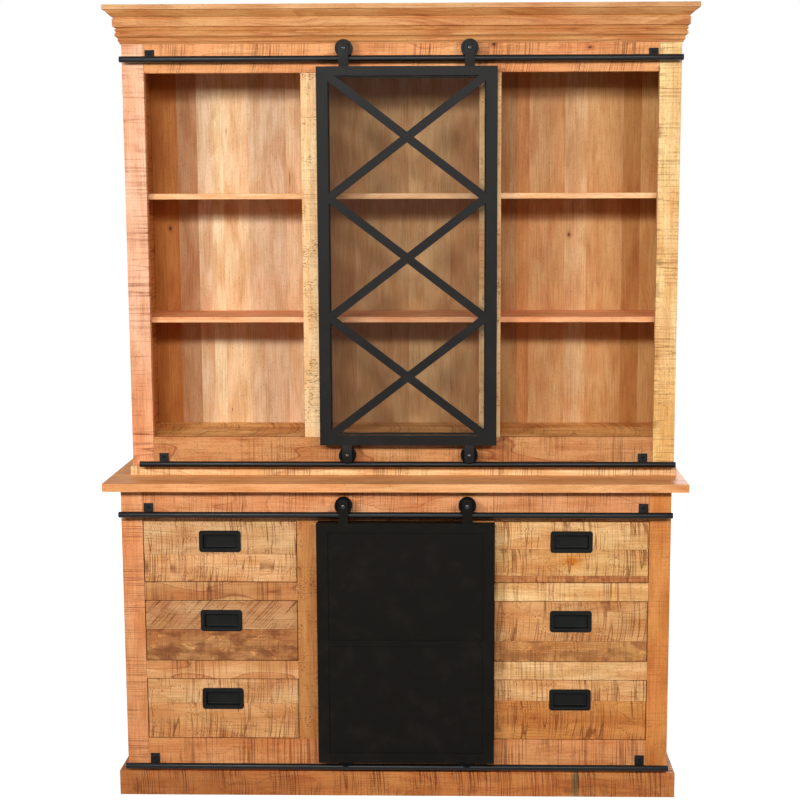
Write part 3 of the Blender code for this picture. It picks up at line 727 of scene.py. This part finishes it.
single_board(
    "hutch_header",
    "hutch_header_board",
    "X",
    "Z",
    shade(214, 147, 90),
    fine_sawn,
    ((0.25, 2.0, 0.010, 0.006, knot), (0.50, 1.99, 0.008, 0.005, knot)),
)
crown_low, crown_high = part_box("crown_moulding")
crown_place = {
    "centre": (crown_low.x + crown_high.x) / 2,
    "half": (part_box("hutch_side_right")[1].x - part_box("hutch_side_left")[0].x) / 2,
    "front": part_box("hutch_header")[0].y,
    "back": crown_high.y,
    "head": crown_high.z,
}
for name, along, stations in (
    ("crown_front", "X", ((-1, True), (1, True))),
    ("crown_return_left", "Y", ((-1, False), (-1, True))),
    ("crown_return_right", "Y", ((1, False), (1, True))),
):
    tones = [(0, shade(189, 131, 76))]
    wood = sawn_wood(f"{name}_wood", "crown_moulding", along, "Z", tones, crown_cut)
    bm = run_moulding(stations, **crown_place)
    fit_piece(name, bm, "carcass", wood, ["crown_moulding"])


def laid_boards(node, name, shares, colours, cut):
    """Boards side by side from front to back, as a counter or a cap is glued up."""
    low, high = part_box(node)
    starts = [low.y + share * (high.y - low.y) for share in shares]
    boxes = []
    for near, far in zip(starts, starts[1:] + [high.y]):
        boxes.append(((low.x, near, low.z), (high.x, far, high.z)))
    wood = sawn_wood(f"{node}_wood", node, "X", "Y", list(zip(starts, colours)), cut)
    fit_piece(name, sawn_boards(boxes, "X", seam_ease, "Y"), "carcass", wood, [node])


cap_colours = (shade(194, 142, 91), shade(184, 128, 77), shade(190, 136, 83))
laid_boards("crown_cap", "crown_cap_boards", cap_shares, cap_colours, planed)

# The hutch's floor with its front rail, and the thin skirt that hides its joint with the counter.
# The rail's rings run out in dark arcs at its left end and right end.
rail_cut = {"comb": 0.6, "strokes": 0.3, "dashes": 0.4, "rings": 0.1, "figure": 1.0, "pitch": 0.0033}
skirt_thickness = 0.006
plinth_thickness = 0.020
# The floor's tone behind its rail is made lighter than its wood: painted light from above on the
# floor's top.
floor_tones_and_painted_light = front_and_behind("hutch_floor", shade(195, 135, 82), shade(226, 174, 104))
floor_wood = sawn_wood("hutch_floor_wood", "hutch_floor", "X", "Y", floor_tones_and_painted_light, rail_cut)
floor_copy = solid_copy("hutch_floor", board_ease)
fit_piece("hutch_floor_boards", floor_copy, "carcass", floor_wood, ["hutch_floor"])


def wrapped(node, name, thickness, tone, cut, spots=()):
    """A front board, which may have spots, with a return behind each of its ends: three pieces."""
    low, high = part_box(node)
    behind = low.y + thickness
    parts = (
        ("front", "X", (low.x, low.y, low.z), (high.x, behind, high.z)),
        ("left", "Y", (low.x, behind, low.z), (low.x + thickness, high.y, high.z)),
        ("right", "Y", (high.x - thickness, behind, low.z), (high.x, high.y, high.z)),
    )
    for place, along, near, far in parts:
        marks = spots if place == "front" else ()
        wood = sawn_wood(f"{name}_{place}_wood", node, along, "Z", [(0, tone)], cut, marks)
        bm = sawn_boards([(near, far)], along)
        fit_piece(f"{name}_{place}", bm, "carcass", wood, [node])


# The skirt's tone is made lighter in green and blue: painted light over the shadow that the hutch's
# lower rod casts on it.
wrapped("hutch_skirt", "skirt", skirt_thickness, shade(232, 187, 134), fine_sawn)

# The base: sides as on the hutch, a counter of four boards, rails, the plinth that is planted on
# the foot, and the cupboard shelf and back.
base_post_sawn = {**post_sawn, "comb": 0.8, "strokes": 0.1, "pitch": 0.0030}
plinth_cut = {**rough_sawn, "comb": 1.2, "strokes": 0.5, "dashes": 0.5, "pitch": 0.0033}
side(
    "base_side_left",
    -1,
    (shade(216, 147, 96), shade(214, 146, 94), shade(222, 160, 108), shade(206, 138, 86)),
    base_post_sawn,
)
side(
    "base_side_right",
    1,
    (shade(206, 131, 65), shade(204, 138, 84), shade(214, 150, 96), shade(198, 130, 74)),
    {**base_post_sawn, "comb": 0.3},
)
counter_shares = (0, 0.28, 0.55, 0.80)
# The counter's boards are toned lighter than their wood, most of all the three behind the front one:
# painted light from above on the counter's top.
counter_tones_and_painted_light = (
    shade(220, 156, 100),
    shade(230, 164, 94),
    shade(226, 157, 89),
    shade(230, 167, 97),
)
laid_boards("counter_top", "counter_boards", counter_shares, counter_tones_and_painted_light, planed)
top_rail_tone = shade(212, 146, 96)
single_board("base_top_rail", "base_top_rail_board", "X", "Z", top_rail_tone, fine_sawn)
single_board("cupboard_shelf", "cupboard_shelf_board", "X", "Y", shade(190, 128, 76), planed)
plinth_spots = [(0.475, 0.040, 0.016, 0.080, grey_streak), (-0.60, 0.035, 0.26, 0.40, dark_end)]
wrapped("plinth", "plinth", plinth_thickness, shade(196, 125, 66), plinth_cut, plinth_spots)
base_back_low, base_back_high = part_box("base_back")
panel_boards = 8
panel_tones = (shade(176, 116, 66), shade(190, 130, 78), shade(168, 108, 60))
base_back_boards = []
for number in range(panel_boards):
    across_back = (base_back_high.x - base_back_low.x) * number / panel_boards
    tone = panel_tones[number % len(panel_tones)]
    base_back_boards.append((base_back_low.x + across_back, tone))
upright_panel("base_back", base_back_boards, "base_back_boards", planed)

inside_tone = shade(176, 114, 64)
for node, front, figure in (
    ("base_floor", shade(214, 144, 89), 0.3),
    ("drawer_web_left_upper", shade(197, 145, 93), 1.0),
    ("drawer_web_left_lower", shade(214, 155, 102), 1.0),
    ("drawer_web_right_upper", shade(232, 183, 123), 0.3),
    ("drawer_web_right_lower", shade(232, 181, 124), 0.3),
):
    tones = front_and_behind(node, front, inside_tone)
    wood = sawn_wood(f"{node}_wood", node, "X", "Y", tones, {**fine_sawn, "figure": figure})
    fit_piece(f"{node}_boards", solid_copy(node, board_ease), "carcass", wood, [node])

# The drawers. Each front is two or three boards glued edge to edge, cut out for the cup of its
# pull. Behind it is a plain box of thinner wood.
drawers = {
    "left_1": ((0, shade(218, 164, 111)), (0.6636, shade(205, 161, 112))),
    "left_2": ((0, shade(172, 118, 68), 0, 1), (0.4574, shade(189, 138, 91), 1, 0)),
    "left_3": ((0, shade(210, 151, 95)), (0.2525, shade(215, 164, 112))),
    "right_1": (
        (0, shade(193, 127, 74), 0, 0.5),
        (0.6067, shade(217, 166, 104)),
        (0.6783, shade(221, 173, 115)),
    ),
    "right_2": ((0, shade(192, 134, 76), 0, 0.7), (0.4272, shade(210, 154, 98))),
    "right_3": ((0, shade(205, 136, 70)), (0.2617, shade(224, 171, 114))),
}
amber_drop = 0.052
amber_size = (0.026, 0.018)
cup_width = 0.0893
cup_height = 0.0355
cup_wall = 0.0013
drawer_ease = 0.0007
overrun = 0.004
box_wall = 0.012
box_bottom = 0.006
box_tone = shade(216, 164, 112)


def carved(bm, low, high):
    """A shape with a block cut out of it."""
    pair = []
    for name, shape in (("whole", bm), ("cutter", block(low, high))):
        pair.append(add_object(name, as_mesh(name, shape)))
    whole, cutter = pair
    cut = whole.modifiers.new("cut", "BOOLEAN")
    cut.operation = "DIFFERENCE"
    cut.solver = "EXACT"
    cut.object = cutter
    graph = bpy.context.evaluated_depsgraph_get()
    made = bmesh.new()
    made.from_object(whole, graph)
    bpy.data.objects.remove(whole)
    bpy.data.objects.remove(cutter)
    return made


for name, starts in drawers.items():
    node = f"drawer_front_{name}"
    body = f"drawer_{name}"
    low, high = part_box(node)
    starts = [(max(start, low.z), *looks) for start, *looks in starts]
    edges = [start for start, *looks in starts] + [high.z]
    boxes = []
    for foot, head in zip(edges, edges[1:]):
        boxes.append(((low.x, low.y, foot), (high.x, high.y, head)))
    pull_low, pull_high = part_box(f"drawer_pull_{name}")
    middle = (pull_low + pull_high) / 2
    half_x, half_z = cup_width / 2 + cup_wall, cup_height / 2 + cup_wall
    hole_low = (middle.x - half_x, low.y - overrun, middle.z - half_z)
    hole_high = (middle.x + half_x, high.y + overrun, middle.z + half_z)
    bm = carved(sawn_boards(boxes, "X", drawer_ease), hole_low, hole_high)
    stained = name == "right_1"
    spots = [(middle.x, middle.z - amber_drop, *amber_size, amber)] if stained else ()
    wood = sawn_wood(f"{node}_wood", node, "X", "Z", starts, rough_sawn, spots)
    fit_piece(f"{node}_boards", bm, body, wood, [node])
    box_node = f"drawer_box_{name}"
    low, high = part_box(box_node)
    inner_low = Vector((low.x + box_wall, low.y + box_wall, low.z + box_bottom))
    inner_high = Vector((high.x - box_wall, high.y - box_wall, high.z))
    sides = ((low, (inner_low.x, high.y, high.z)), ((inner_high.x, low.y, low.z), high))
    ends = (
        ((inner_low.x, low.y, low.z), (inner_high.x, inner_low.y, high.z)),
        ((inner_low.x, inner_high.y, low.z), (inner_high.x, high.y, high.z)),
    )
    bottom = [((inner_low.x, inner_low.y, low.z), (inner_high.x, inner_high.y, inner_low.z))]
    for part, along, across, corners in (
        ("sides", "Y", "Z", sides),
        ("ends", "X", "Z", ends),
        ("bottom", "X", "Y", bottom),
    ):
        tones = [(0, box_tone)]
        wood = sawn_wood(f"{box_node}_{part}_wood", box_node, along, across, tones, planed)
        bm = sawn_boards(corners, along)
        fit_piece(f"{box_node}_{part}", bm, body, wood, [box_node])

# The pulls are pressed from sheet steel and coated matt black: a plate with a bevelled rim and a
# sunk middle, and a cup let into the wood for the fingers. Two screws hold each from the cup.
pull_corner = 0.008
pull_corner_steps = 6
pull_rim = ((0.0002, 0.0011), (0.0014, 0.0009))
sunk_inset = 0.0062
sunk_depth = 0.0007
cup_depth = 0.0120
cup_sheet = 0.0008
cup_bend = 0.0022
cup_bend_steps = 4
pull_ease = 0.0003
pull_seat = 0.0002
pull_screw_head = ((0, -0.0010), (0.00154, -0.0008), (0.0022, 0), (0.0022, 0.0004))
pull_screw_aside = 0.036
pull_screw_sides = 16
pole_match = 0.000002
peel_strength, peel_depth = 0.12, 0.0002
dust_scale = 22
dust_rise = (0.45, 0.75)
dust_pale, dust_rough = 1.5, 0.12


def black_coat(name, tone, rough, gloss, grain=0.0009):
    """Powder coat on steel, with its fine orange peel."""
    material, shader, point = new_finish(name)
    peel_inputs = {"Vector": point, "Scale": 1 / grain, "Detail": 1}
    peel = point.node("ShaderNodeTexNoise", {}, peel_inputs)
    dust_inputs = {"Vector": point, "Scale": dust_scale, "Detail": 4}
    dust = point.node("ShaderNodeTexNoise", {}, dust_inputs).between(*dust_rise)
    pale = (*(value * dust_pale for value in tone[:3]), 1)
    mix = {"data_type": "RGBA"}
    colour = point.node("ShaderNodeMix", mix, {0: dust, 6: tone, 7: pale}, 2)
    colour.feed(shader, "Base Color")
    (dust * dust_rough + rough).feed(shader, "Roughness")
    shader.inputs["Specular IOR Level"].default_value = gloss
    bump_inputs = {"Strength": peel_strength, "Distance": peel_depth, "Height": peel}
    bump = point.node("ShaderNodeBump", {}, bump_inputs)
    bump.feed(shader, "Normal")
    return material


def turned(profile, centre, sides, bm=None):
    """A profile of radius and depth spun round an axis that runs from front to back."""
    bm = bm or bmesh.new()
    verts = [bm.verts.new(centre + Vector((radius, depth, 0))) for radius, depth in profile]
    edges = [bm.edges.new(pair) for pair in zip(verts, verts[1:])]
    bmesh.ops.spin(
        bm,
        geom=verts + edges,
        cent=centre,
        axis=(0, 1, 0),
        angle=2 * math.pi,
        steps=sides,
        use_merge=True,
    )
    bmesh.ops.remove_doubles(bm, verts=bm.verts, dist=pole_match)
    bmesh.ops.recalc_face_normals(bm, faces=bm.faces)
    return bm


pull_coat = black_coat("pull_coat", shade(18, 18, 17), 0.36, 0.12)
for name in drawers:
    node = f"drawer_pull_{name}"
    low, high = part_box(node)
    wood_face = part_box(f"drawer_front_{name}")[0].y - pull_seat
    middle = Vector(((low.x + high.x) / 2, wood_face, (low.z + high.z) / 2))
    half = (high - low) / 2
    bm = bmesh.new()
    corners = ((-half.x, -half.z), (half.x, -half.z), (half.x, half.z), (-half.x, half.z))
    bm.faces.new([bm.verts.new(middle + Vector((x, 0, z))) for x, z in corners])
    round_off(bm, bm.verts[:], pull_corner, pull_corner_steps, "VERTICES")
    rim = [edge for edge in bm.edges if edge.is_boundary]
    face = bm.faces[:][0]
    for thickness, depth in pull_rim:
        bmesh.ops.inset_individual(bm, faces=[face], thickness=thickness, depth=depth)
    bmesh.ops.holes_fill(bm, edges=rim, sides=0)
    bmesh.ops.recalc_face_normals(bm, faces=bm.faces)
    front = wood_face - sum(depth for thickness, depth in pull_rim)
    sunk = half - Vector((sunk_inset, 0, sunk_inset))
    hole = Vector((cup_width / 2, 0, cup_height / 2))
    for reach, start, end in (
        (sunk, front - overrun, front + sunk_depth),
        (hole, front - overrun, wood_face + overrun),
    ):
        near = (middle.x - reach.x, start, middle.z - reach.z)
        bm = carved(bm, near, (middle.x + reach.x, end, middle.z + reach.z))
    ease(bm, pull_ease, 1)
    end = wood_face + cup_depth
    corner = (middle.x - hole.x, front + sunk_depth, middle.z - hole.z)
    cup = block(corner, (middle.x + hole.x, end, middle.z + hole.z))
    mouth = min(cup.faces, key=lambda face: face.calc_center_median().y)
    bmesh.ops.delete(cup, geom=[mouth], context="FACES_ONLY")
    bends = [edge for edge in cup.edges if not edge.is_boundary]
    round_off(cup, bends, cup_bend, cup_bend_steps)
    bmesh.ops.solidify(cup, geom=cup.faces[:], thickness=-cup_sheet)
    for way in (-1, 1):
        screw_at = Vector((middle.x + way * pull_screw_aside, end, middle.z))
        turned(pull_screw_head, screw_at, pull_screw_sides, cup)
    add_shape(bm, cup)
    fit_piece(f"{node}_pressing", bm, f"drawer_{name}", pull_coat, [node], smooth=True)

# The rods that the doors hang on are solid bar with eased ends, each welded to two brackets of
# bent flat that a domed screw holds to the wood.
rod_radius = 0.008
rod_standoff = 0.028
rod_sides = 32
rod_ease = 0.0012
rod_end_angle = math.radians(60)
seat = 0.0003
bracket_width = 0.025
bracket_height = 0.026
bracket_thickness = 0.003
bracket_ease = 0.0007
bracket_reach_share = 0.9
screw_dome = (
    (0, -0.001375),
    (0.0012, -0.001375),
    (0.0016, -0.0025),
    (0.0030, -0.00215),
    (0.0046, -0.0010),
    (0.0050, 0.0002),
)
screw_sides = 24
tracks = (
    ("base_track_top", "base_side", 0.017),
    ("base_track_bottom", "base_side", 0.017),
    ("hutch_track_top", "hutch_side", 0.017),
    ("hutch_track_bottom", "hutch_side", 0.028),
)
rod_coat = black_coat("rod_coat", shade(12, 12, 12), 0.30, 0.22)
bracket_coat = black_coat("bracket_coat", shade(26, 26, 26), 0.50, 0.10)


def drawn_out(outline, axis, low, high):
    """A flat outline drawn out along an axis. Its points leave that axis out."""
    number = "XYZ".index(axis)
    bm = bmesh.new()
    verts = []
    for point in outline:
        spot = list(point)
        spot.insert(number, low)
        verts.append(bm.verts.new(spot))
    face = bm.faces.new(verts)
    grown = bmesh.ops.extrude_face_region(bm, geom=[face])
    way = Vector((0, 0, 0))
    way[number] = high - low
    moved = [item for item in grown["geom"] if isinstance(item, bmesh.types.BMVert)]
    bmesh.ops.translate(bm, verts=moved, vec=way)
    bmesh.ops.recalc_face_normals(bm, faces=bm.faces)
    return bm


for node, sides, inset in tracks:
    low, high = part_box(node)
    axis_y = low.y + rod_radius
    axis_z = low.z + rod_radius
    bm = bmesh.new()
    place = Matrix.Translation(((low.x + high.x) / 2, axis_y, axis_z))
    bmesh.ops.create_cone(
        bm,
        cap_ends=True,
        segments=rod_sides,
        radius1=rod_radius,
        radius2=rod_radius,
        depth=high.x - low.x,
        matrix=place @ Matrix.Rotation(math.pi / 2, 4, "Y"),
    )
    ease(bm, rod_ease, sharp=rod_end_angle)
    fit_piece(f"{node}_rod", bm, "carcass", rod_coat, [node], smooth=True)
    wood_face = axis_y + rod_standoff - seat
    plate = wood_face - bracket_thickness
    tip = axis_y + rod_radius * bracket_reach_share
    half = bracket_thickness / 2
    angle = (
        (tip, axis_z - half),
        (wood_face, axis_z - half),
        (wood_face, axis_z + bracket_height),
        (plate, axis_z + bracket_height),
        (plate, axis_z + half),
        (tip, axis_z + half),
    )
    for place, corner, way in (("left", 1, 1), ("right", 0, -1)):
        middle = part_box(f"{sides}_{place}")[corner].x + way * inset
        bm = drawn_out(angle, "X", middle - bracket_width / 2, middle + bracket_width / 2)
        ease(bm, bracket_ease)
        screw_at = Vector((middle, plate, axis_z + (bracket_height + rod_radius) / 2))
        turned(screw_dome, screw_at, screw_sides, bm)
        name = f"{node}_bracket_{place}"
        fit_piece(name, bm, "carcass", bracket_coat, [node], smooth=True)

# The doors: frames welded from steel angle, the upper one with three crosses of flat bar over a
# sheet of glass, the lower one over a steel sheet. Flat straps welded on top carry the wheels.
door_top_inset = 0.0004
door_ease = 0.0006
foot_gap = 0.0057
foot_spare = 0.001
head_gap = 0.0127
strap_ahead = 0.0060
strap_lap = 0.0002
strap_width = 0.026
strap_thickness = 0.004
strap_round = 0.0195
strap_arc_steps = 8
bolt_head = (
    (0, -0.0012),
    (0.0022, -0.0012),
    (0.0026, -0.0032),
    (0.0038, -0.0029),
    (0.0055, -0.0021),
    (0.0064, -0.0008),
    (0.0065, 0.0002),
)
bolt_sides = 32
crosses = 3
cross_bar_width = 0.022
corner_spare = 0.002
door_half_width = 0.235
side_member = 0.030
top_member = 0.024
bottom_member = 0.027
middle_member = 0.016
middle_member_height = 0.3225
sheet = 0.003
weld_radius = 0.0018
weld_stretch = (1.3, 0.4, 1.0, 1)
bead_width = 0.006
bead_slim = 0.0036
bead_lap = 0.001
frame_coat = black_coat("frame_coat", shade(24, 23, 22), 0.45, 0.10)
door_coat = black_coat("door_coat", shade(22, 20, 17), 0.50, 0.04)
bolt_coat = black_coat("bolt_coat", shade(14, 14, 14), 0.12, 0.50)
upper_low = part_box("upper_door_wheel_bottom_left")[1].z + foot_gap
upper_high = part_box("hutch_track_top")[0].z - head_gap
lower_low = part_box("lower_door_frame")[0].z
lower_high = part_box("base_track_top")[0].z - head_gap
doors = (
    ("upper_door", frame_coat, upper_low, upper_high, ("top", "bottom")),
    ("lower_door", door_coat, lower_low, lower_high, ("top",)),
)


def strap(bars, bolts, x, root, wheel_z, front):
    """A flat bar from the frame to past a wheel, its end round the wheel's middle, and its bolt."""
    half = strap_width / 2
    way = 1 if wheel_z > root else -1
    start = math.acos(half / strap_round)
    outline = [(x - half, root), (x + half, root)]
    for step in range(strap_arc_steps + 1):
        turn = start + (math.pi - 2 * start) * step / strap_arc_steps
        across, up = strap_round * math.cos(turn), strap_round * math.sin(turn)
        outline.append((x + across, wheel_z + way * up))
    bar = drawn_out(outline, "Y", front, front + strap_thickness)
    add_shape(bars, ease(bar, door_ease))
    turned(bolt_head, Vector((x, front, wheel_z)), bolt_sides, bolts)


for door, coat, foot, head, rows in doors:
    node = f"{door}_frame"
    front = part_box(f"{door}_wheel_top_left")[0].y - strap_ahead - seat
    shell = solid_copy(node, door_ease, keep=(foot - foot_spare, head + door_top_inset))
    fit_piece(f"{node}_welded", shell, door, coat, [node])
    straps, bolts = bmesh.new(), bmesh.new()
    for column in ("left", "right"):
        for row in rows:
            low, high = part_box(f"{door}_wheel_{row}_{column}")
            x, z = (low.x + high.x) / 2, (low.z + high.z) / 2
            root = head + door_top_inset if row == "top" else foot - strap_lap
            strap(straps, bolts, x, root, z, front)
    fit_piece(f"{node}_straps", straps, door, coat, [node], smooth=True)
    fit_piece(f"{node}_bolts", bolts, door, bolt_coat, [node], smooth=True)

window_half = door_half_width - side_member
window_low = upper_low + bottom_member
window_high = upper_high - top_member
cell = (window_high - window_low) / crosses
bar_reach = cross_bar_width / 2 / math.cos(math.atan2(cell, 2 * window_half))
cross_ends = []
for level in range(crosses + 1):
    for lift in (-bar_reach, bar_reach):
        height = window_low + cell * level + lift
        if window_low - corner_spare < height < window_high + corner_spare:
            cross_ends.append(height)
bar_low = lower_low + middle_member_height
bar_ends = [bar_low, bar_low + middle_member]
for door, pane, ends, coat in (
    ("upper_door", "upper_door_glass", cross_ends, frame_coat),
    ("lower_door", "lower_door_panel", bar_ends, door_coat),
):
    low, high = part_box(f"{door}_frame")
    frame_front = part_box(pane)[0].y - sheet - seat
    welds = bmesh.new()
    for height in ends:
        for way in (-1, 1):
            spot = Vector(((low.x + high.x) / 2 + way * window_half, frame_front, height))
            drop = Matrix.Translation(spot) @ Matrix.Diagonal(weld_stretch)
            bmesh.ops.create_icosphere(welds, subdivisions=2, radius=weld_radius, matrix=drop)
    fit_piece(f"{door}_welds", welds, door, coat, [f"{door}_frame"], smooth=True)

glass_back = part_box("upper_door_glass")[1].y
middle = (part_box("upper_door_frame")[0].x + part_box("upper_door_frame")[1].x) / 2
wide, slim = window_half + bead_width, window_half - bead_slim
beads = []
for left, foot, right, head in (
    (-wide, window_high - bead_width, wide, window_high),
    (-wide, window_low, wide, window_low + bead_width),
    (-window_half - bead_lap, window_low, -slim, window_high),
    (slim, window_low, window_half + bead_lap, window_high),
):
    near = glass_back + seat
    beads.append(((middle + left, near, foot), (middle + right, near + bead_width, head)))
bead_rubber = black_coat("bead_rubber", shade(16, 16, 16), 0.7, 0.10)
bm = sawn_boards(beads, "Z")
fit_piece("upper_door_bead", bm, "upper_door", bead_rubber, ["upper_door_frame"])

panel = sawn_boards([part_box("lower_door_panel")], "Z")
fit_piece("lower_door_sheet", panel, "lower_door", door_coat, ["lower_door_panel"])

# The glass gets a near-black colour at a low, patchy opacity that dims the middle bay behind it:
# painted shade and a painted dark reflection on glass that is clear.
glass_painted_shade_tint = (0.06, 0.05, 0.035, 1)
glass_sheen = 0.25
film_scale = 5
film_alpha = (0.08, 0.06)
film_rough = (0.03, 0.02)
glass, glass_shader, point = new_finish("clear_glass")
film_inputs = {"Vector": point, "Scale": film_scale, "Detail": 3}
film = point.node("ShaderNodeTexNoise", {}, film_inputs)
(film * film_alpha[0] + film_alpha[1]).feed(glass_shader, "Alpha")
(film * film_rough[0] + film_rough[1]).feed(glass_shader, "Roughness")
glass_shader.inputs["Base Color"].default_value = glass_painted_shade_tint
glass_shader.inputs["Specular IOR Level"].default_value = glass_sheen
bm = sawn_boards([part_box("upper_door_glass")], "Z")
fit_piece("upper_door_glazing", bm, "upper_door", glass, ["upper_door_glass"])

# The wheels are turned from steel, with a groove round the rim for the rod and a sunk ring in the
# face. Each spins on the bolt that holds it to its strap.
wheel_sides = 64
wheel_radius = 0.023
axle_height = 0.0255
groove_radius = 0.0083
groove_steps = 10
wheel_ease = 0.0007
wheel_face = ((0.0035, 0.0004), (0.0085, 0.0004), (0.0095, 0.0014), (0.0165, 0.0014), (0.0175, 0))
wheel_coat = black_coat("wheel_coat", shade(8, 8, 8), 0.20, 0.07)
for door in ("upper_door", "lower_door"):
    for row in ("top", "bottom"):
        for column in ("left", "right"):
            node = f"{door}_wheel_{row}_{column}"
            low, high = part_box(node)
            middle = (low + high) / 2
            half = (high.y - low.y) / 2
            groove_turn = math.acos((axle_height - wheel_radius) / groove_radius)
            profile = [(radius, depth - half) for radius, depth in wheel_face]
            profile += [(wheel_radius - wheel_ease, -half), (wheel_radius, wheel_ease - half)]
            for step in range(groove_steps + 1):
                turn = groove_turn * (2 * step / groove_steps - 1)
                deep = axle_height - groove_radius * math.cos(turn)
                profile.append((deep, groove_radius * math.sin(turn)))
            profile += [
                (wheel_radius, half - wheel_ease),
                (wheel_radius - wheel_ease, half),
                (wheel_face[0][0], half),
                profile[0],
            ]
            bm = turned(profile, middle, wheel_sides)
            fit_piece(f"{node}_turned", bm, node, wheel_coat, [node], smooth=True)

boxes = {"solids": solid_box, "dressed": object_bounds()}
